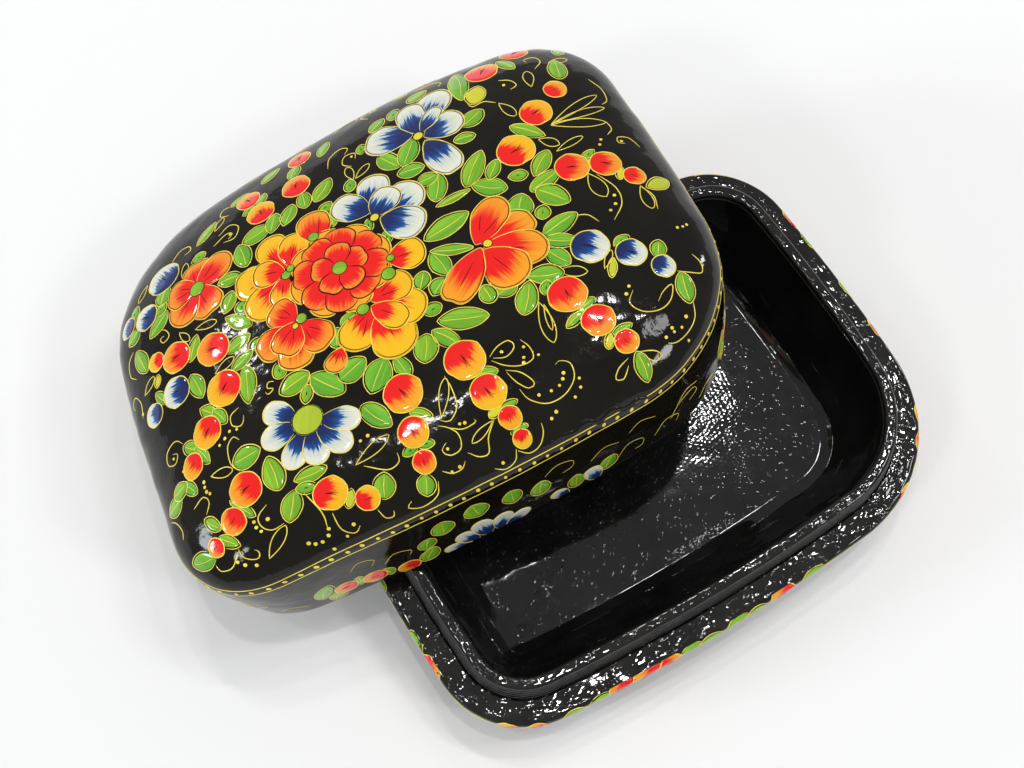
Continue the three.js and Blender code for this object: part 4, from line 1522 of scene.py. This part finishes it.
def make_bowl(material):
    inner = cavity_inset(COLLAR_SEAT)
    bed = FLOOR_HEIGHT - LINING - GAP
    side = climb(bowl_inset, 0, LEDGE_HEIGHT - RIM_ROUND, 20)
    over = bend((RIM_ROUND, LEDGE_HEIGHT - RIM_ROUND), RIM_ROUND, 0, 90, 5)
    ledge = straight((RIM_ROUND, LEDGE_HEIGHT), (LEDGE_WIDTH, LEDGE_HEIGHT), LEDGE_STEPS)
    inside = [(LEDGE_WIDTH, LEDGE_HEIGHT), (LEDGE_WIDTH, COLLAR_SEAT), (inner, COLLAR_SEAT)]
    rows = side + over + ledge + inside + [(BED_INSET, bed)]
    grid = rings(rows, GRITTY_COLUMNS)
    amount = hand_made(grid, BOWL_WAVE)
    share = np.array([np.clip((z - LEDGE_HEIGHT + RIM_ROUND) / RIM_ROUND, 0, 1) for _, z in rows])[:, None]
    depth = np.array([inset for inset, _ in rows])[:, None]
    travel = stations(GRITTY_COLUMNS)[None]
    amount = amount * (1 - share) + ledge_grit(travel, depth) * share
    amount[0] = 0
    amount[len(side) + len(over) + len(ledge):] = 0
    points, faces = skin(push(grid, amount), [[0, 0, 0], [0, 0, bed]])
    made = add_object("bowl_shell", points, faces, material, "base")
    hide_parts("base_bowl")


SHEETS = 5  # layers of paper that show on the collar's outside
SHEET_STEP = 0.22
SHEET_FALL = 0.84  # share of a layer's height above which it falls back to the next
SHEET_SWAY = 0.22  # how far the layers wander up and down, as a share of their height
COLLAR_MIDDLE = 18  # height of the one bend in the face that the cloth hides
COLLAR_STEPS = 66
COLLAR_COLUMNS = 1140


def make_collar(material):
    foot = LEDGE_WIDTH + GAP / 3
    lip = LEDGE_WIDTH + COLLAR_DRAFT
    top = COLLAR_TOP - COLLAR_ROUND
    outer = straight((foot, LEDGE_HEIGHT - 1), (lip, top), COLLAR_STEPS)
    over = bend((lip + COLLAR_ROUND, top), COLLAR_ROUND, 0, 90, 5)
    flat = straight((lip + COLLAR_ROUND, COLLAR_TOP), (MOUTH_INSET - COLLAR_ROUND, COLLAR_TOP), 5)
    down = bend((MOUTH_INSET - COLLAR_ROUND, top), COLLAR_ROUND, 90, 180, 5)
    inside = [(MOUTH_INSET, top), (MOUTH_INSET, COLLAR_TOP - LINING_DROP + GAP)]
    behind = (COLLAR_TOP - LINING_DROP, COLLAR_MIDDLE, COLLAR_SEAT + GAP)
    hidden = [(cavity_inset(z) - LINING - GAP, z) for z in behind]
    rows = outer + over + flat + down + inside + hidden + [(foot, COLLAR_SEAT + GAP)]
    grid = rings(rows, COLLAR_COLUMNS)
    travel = stations(COLLAR_COLUMNS)[None]
    shown = len(outer) + len(over) + len(flat) + len(down)
    height = np.array([z for _, z in rows])[:, None]
    depth = np.array([inset for inset, _ in rows])[:, None]
    sway = SHEET_SWAY * streaks(travel, 0, 45, 1, 31, 10)
    share = ((height - LEDGE_HEIGHT) / COLLAR_RISE * SHEETS + sway) % 1
    sheets = SHEET_STEP * (share - 0.5 - np.clip((share - SHEET_FALL) / (1 - SHEET_FALL), 0, 1))
    wall = np.arange(len(rows))[:, None] < len(outer)
    amount = np.where(wall, sheets, 0) + collar_grit(travel, depth + height)
    amount[0] = 0
    amount[shown:] = 0
    points, faces = skin(push(grid, amount))
    made = add_object("collar_band", points, faces, material, "base")
    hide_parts("base_collar")


def make_wall_cloth(material):
    start = COLLAR_TOP - LINING_DROP - GAP
    foot = FLOOR_HEIGHT + GAP
    outer = climb(lambda z: cavity_inset(z) - LINING, foot, start, 4)
    outer += [(cavity_inset(start) - LINING, start)]
    inner = climb(cavity_inset, start, foot, 30) + [(cavity_inset(foot), foot)]
    rows = outer + inner
    grid = rings(rows)
    amount = 0.09 * swell(grid, 11, 41) + 0.04 * swell(grid, 4, 42)
    amount[: len(outer)] = 0
    points, faces = skin(push(grid, amount))
    made = add_object("wall_muslin", points, faces, material, "base")
    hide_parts("base_wall_lining")


FILLET_RISE = 1.3
FILLET_WIDTH = 3.2
FILLET_POWER = 1.2
FLOOR_BAND = 8  # the finely divided part along the edge
FLOOR_BAND_RINGS = 41
FLOOR_RINGS = 48  # on the rest of the floor
FLOOR_EDGE = 19.6  # inset of the floor cloth, just inside the wall's foot
# Where the lacquer is thin enough for the weave to show: middle and reach, in millimetres
THIN_PATCHES = [((25, -6), 13), ((24, 6), 9)]


def weave_patch(points):
    """How much of the weave shows at each point."""
    total = np.zeros(points.shape[:-1])
    for middle, reach in THIN_PATCHES:
        away = ((points[..., :2] - middle) ** 2).sum(-1)
        total += np.exp(-away / reach**2)
    return total


def floor_waves(points):
    return 0.03 * swell(points, 17, 52) + 0.012 * swell(points, 6, 53)


def make_floor_cloth(material):
    """The muslin on the floor, turned up at its edge, as rings that close on the middle."""
    band = np.linspace(0, FLOOR_BAND, FLOOR_BAND_RINGS)
    grid = [ring(FLOOR_EDGE + away, FLOOR_HEIGHT) for away in band]
    for away, loop in zip(band, grid):
        share = max(1 - away / FILLET_WIDTH, 0)
        if share > 0:
            loop[:, 2] += FILLET_RISE * share**FILLET_POWER
    flat = grid[-1]
    for share in np.linspace(0.98, 0.02, FLOOR_RINGS):
        grid.append(flat * [share, share, 1])
    grid = np.stack(grid)[::-1]
    amount = floor_waves(grid)
    amount[-3:] = 0
    under = FLOOR_HEIGHT - LINING
    grid = grid + np.stack([np.zeros_like(amount), np.zeros_like(amount), amount], -1)
    grid = np.concatenate([grid, rings([(FLOOR_EDGE, under), (FLOOR_EDGE + FLOOR_BAND, under)])])
    points, faces = skin(grid[::-1], [[0, 0, under], [0, 0, FLOOR_HEIGHT]])
    made = add_object("floor_muslin", points, faces, material, "base")
    thin = made.data.attributes.new("thin", "FLOAT", "POINT")
    thin.data.foreach_set("value", np.clip(weave_patch(points), 0, 1).astype(np.float32))
    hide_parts("base_floor_lining")


GRAIN_SIDES = 8
GRAIN_SINK = -0.12  # how far a grain's underside lies in the lacquer
GRAIN_RINGS = [(1.0, GRAIN_SINK), (1.0, 0.0), (0.7, 0.5), (0.35, 0.88)]  # size, height
GRAIN_TURN = math.atan2(0.6, -0.8)  # where a grain's first corner lies
GRAIN_RADII = (0.22, 0.5)
GRAIN_SPREAD = (0.7, 1.6)  # how much some grains bulge more than others

FLOOR_GRAINS = 1800
FLOOR_BULGE = 0.1  # height of a plain grain of 1 mm radius
FLOOR_REACHES = (60, 42)  # half the box that places on the floor are drawn in
# The streak of grains along the floor's front: its middle, how far to each side most of them lie,
# and how far in from the outline
STREAK_GRAINS = 190
STREAK_MIDDLE = 4.5
STREAK_REACH = 9
STREAK_INSET = (23, 25.4)

EDGE_MARGIN = 0.3  # from the ledge's rounded edge to the first grains
LEDGE_GRAINS = 900
LIP_GRAINS = 400
RIM_BULGE = 0.14


def make_grains(name, places, material, bulge):
    """Grains of dust caught in the lacquer of level faces: low domes that each catch the light."""
    angle = np.arange(GRAIN_SIDES) * 2 * np.pi / GRAIN_SIDES
    points = []
    faces = []
    up = np.array([0.0, 0.0, 1.0])
    turned = angle + GRAIN_TURN
    circle = np.column_stack([np.cos(turned), np.sin(turned), 0 * turned])
    for place in places:
        radius = dice.uniform(*GRAIN_RADII)
        height = radius**2 * dice.uniform(*GRAIN_SPREAD) * bulge
        loops = [place + radius * size * circle + at_height(share, height) * up
                 for size, share in GRAIN_RINGS]
        dome, dome_faces = skin(np.stack(loops), [place + GRAIN_SINK * up, place + height * up])
        faces += [[len(points) + i for i in face] for face in dome_faces]
        points += dome.tolist()
    add_object(name, points, faces, material, "base")


def scatter_floor_grains(material):
    places = []
    border = polar_radius(FLOOR_EDGE + FILLET_WIDTH)
    while len(places) < FLOOR_GRAINS:
        x, y = (dice.uniform(-reach, reach) for reach in FLOOR_REACHES)
        if math.hypot(x, y) < np.interp(math.atan2(y, x), *border):
            places.append((x, y, FLOOR_HEIGHT))
    for _ in range(STREAK_GRAINS):
        x = STREAK_MIDDLE + STREAK_REACH * (dice.uniform(-1, 1) + dice.uniform(-1, 1)) / 1.4
        y = dice.uniform(*STREAK_INSET) - WIDTH / 2 + x**2 / (2 * LONG_SIDE_RADIUS)
        places.append((x, y, FLOOR_HEIGHT))
    places = np.array(places)
    places[:, 2] += floor_waves(places)
    make_grains("floor_grains", places, material, FLOOR_BULGE)


def scatter_rim_grains(material):
    travel = np.array([dice.uniform(0, PERIMETER) for _ in range(LEDGE_GRAINS + LIP_GRAINS)])
    first = RIM_ROUND + EDGE_MARGIN
    ledge = np.array([dice.uniform(first, LEDGE_WIDTH) for _ in range(LEDGE_GRAINS)])
    first = LEDGE_WIDTH + COLLAR_DRAFT + COLLAR_ROUND
    lip = np.array([dice.uniform(first, MOUTH_INSET - COLLAR_ROUND) for _ in range(LIP_GRAINS)])
    ledge_top = LEDGE_HEIGHT + ledge_grit(travel[:LEDGE_GRAINS], ledge)
    lip_top = COLLAR_TOP + collar_grit(travel[LEDGE_GRAINS:], lip + COLLAR_TOP)
    flat = rim(travel, np.concatenate([ledge, lip]))
    places = np.column_stack([flat, np.concatenate([ledge_top, lip_top])])
    make_grains("rim_grains", places, material, RIM_BULGE)


RIM_ROWS = 5  # rows of the lid's outside that stay true, across its rim face


def lid_rows_outer():
    foot = [(LID_INSIDE, 0.0)]
    foot += straight((LID_INSIDE + 0.1, 0), (LID_RIM_INSET + RIM_ROUND, 0), 4)[1:]
    under = bend((LID_RIM_INSET + RIM_ROUND, RIM_ROUND), RIM_ROUND, -90, 0, 6)
    side = climb(skirt_inset, RIM_ROUND, LID_SKIRT, 24) + [(-LID_SWELL, LID_SKIRT)]
    return foot + under + side


def make_lid(material):
    inner = dome_rings(LID_INSIDE, LID_SKIRT, INNER_CROWN - LID_SKIRT, 12)[::-1]
    wall = rings(straight((LID_INSIDE, LID_SKIRT), (LID_INSIDE, 0), 8))
    rows = lid_rows_outer()
    outside = moulded(np.concatenate([rings(rows), dome_rings(-LID_SWELL, LID_SKIRT, LID_DOME, 74)]))
    placed = lid_placed(np.concatenate([inner, wall, outside]))
    amount = hand_made(placed, LID_WAVE)
    amount[: len(inner) + len(wall) + RIM_ROWS] = 0
    crown = np.array([[0, 0, INNER_CROWN], [0, 0, LID_SKIRT + LID_DOME]])
    crown = lid_placed(crown)
    crown[1] += LID_AXES[:, 2] * hand_made(crown[1:], LID_WAVE)
    points, faces = skin(push(placed, amount), crown)
    made = add_object("lid_shell_skin", points, faces, material, "lid")
    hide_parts("lid_shell")


def make_lid_cloth(material):
    inset = LID_INSIDE + GAP
    inner_inset = inset + LINING
    outer_crown = INNER_CROWN - GAP
    inner_dome = dome_rings(inner_inset, LID_SKIRT, outer_crown - LINING - LID_SKIRT, 24)[::-1]
    inner_wall = rings(straight((inner_inset, LID_SKIRT), (inner_inset, LID_LINING_START), 8))
    foot = rings([(inner_inset, LID_LINING_START), (inset, LID_LINING_START), (inset, LID_SKIRT)])
    outer_dome = dome_rings(inset, LID_SKIRT, outer_crown - LID_SKIRT, 12)
    placed = lid_placed(np.concatenate([inner_dome, inner_wall, foot, outer_dome]))
    amount = 0.1 * swell(placed, 12, 61)
    amount[len(inner_dome) + len(inner_wall):] = 0
    ends = lid_placed(np.array([[0, 0, outer_crown - LINING], [0, 0, outer_crown]]))
    points, faces = skin(push(placed, amount), ends)
    made = add_object("lid_muslin", points, faces, material, "lid")
    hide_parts("lid_lining")


# A wrinkle in the lid's lacquer, near the shoulder at the front
WRINKLE_ENDS = ((18, -62), (44, -61))
WRINKLE_SWAY = 0.7
WRINKLE_WAVES = 3.5
WRINKLE_WIDTH = 2
WRINKLE_HEIGHT = 0.22


def wrinkle_lid(material):
    """A wavy ridge where the lacquer ran, on the bare ground."""
    coat = Coat("lid_wrinkles", "lid", "lid_lacquer", material)
    along = np.linspace(0, 1, 40)
    path = (1 - along[:, None]) * WRINKLE_ENDS[0] + along[:, None] * WRINKLE_ENDS[1]
    path[:, 1] += WRINKLE_SWAY * np.sin(2 * np.pi * WRINKLE_WAVES * along) * np.sin(np.pi * along)
    stroke(coat, LID_TOP, path, WRINKLE_WIDTH, WRINKLE_HEIGHT, np.zeros(len(path)))
    coat.make()


def paint_lid(paints):
    art = Painting("lid", "lid_lacquer", paints)
    paint_foliage(art)
    paint_flowers(art)
    paint_border(art)
    paint_band(art, LID_SIDE, SKIRT_SPRAYS, SKIRT_LEAVES, SKIRT_BUDS, SKIRT_BLUES, SKIRT_SCROLLS)
    art.make()


def band_height(s, h):
    """Height of a motif of the bowl's band, with the stretches where the band dips."""
    dips = [dip for start, end, dip in BAND_DIPS if start < s < end]
    return h + BAND_RISE - sum(dips)


def paint_bowl(paints):
    art = Painting("base", "base_lacquer", paints)
    leaves = [(s, band_height(s, h), length * LEAF_STRETCH, *rest) for s, h, length, *rest in BOWL_LEAVES]
    buds = [(s, band_height(s, h), radius * BUD_GROWTH, *rest) for s, h, radius, *rest in BOWL_BUDS]
    paint_band(art, BOWL_SIDE, BOWL_CHAINS, leaves, buds, BOWL_BLUES, BOWL_SCROLLS)
    art.make()


def main():
    make_camera()
    make_stage()
    make_lamps()
    paints = {
        "warm_petals": petal_paint(),
        "blue_petals": blue_paint(),
        "leaves": leaf_paint(),
        "gold_lines": gold_paint(),
        "dark_lines": dark_paint(),
    }
    ground = painted_lacquer()
    cloth = cloth_lacquer()
    gritty = rim_lacquer()
    make_bowl(gritty)
    make_collar(gritty)
    make_wall_cloth(cloth)
    make_floor_cloth(cloth)
    scatter_floor_grains(cloth)
    scatter_rim_grains(gritty)
    make_lid(ground)
    wrinkle_lid(ground)
    make_lid_cloth(cloth)
    paint_lid(paints)
    paint_bowl(paints)
    bpy.context.scene.view_settings.view_transform = "Standard"


main()
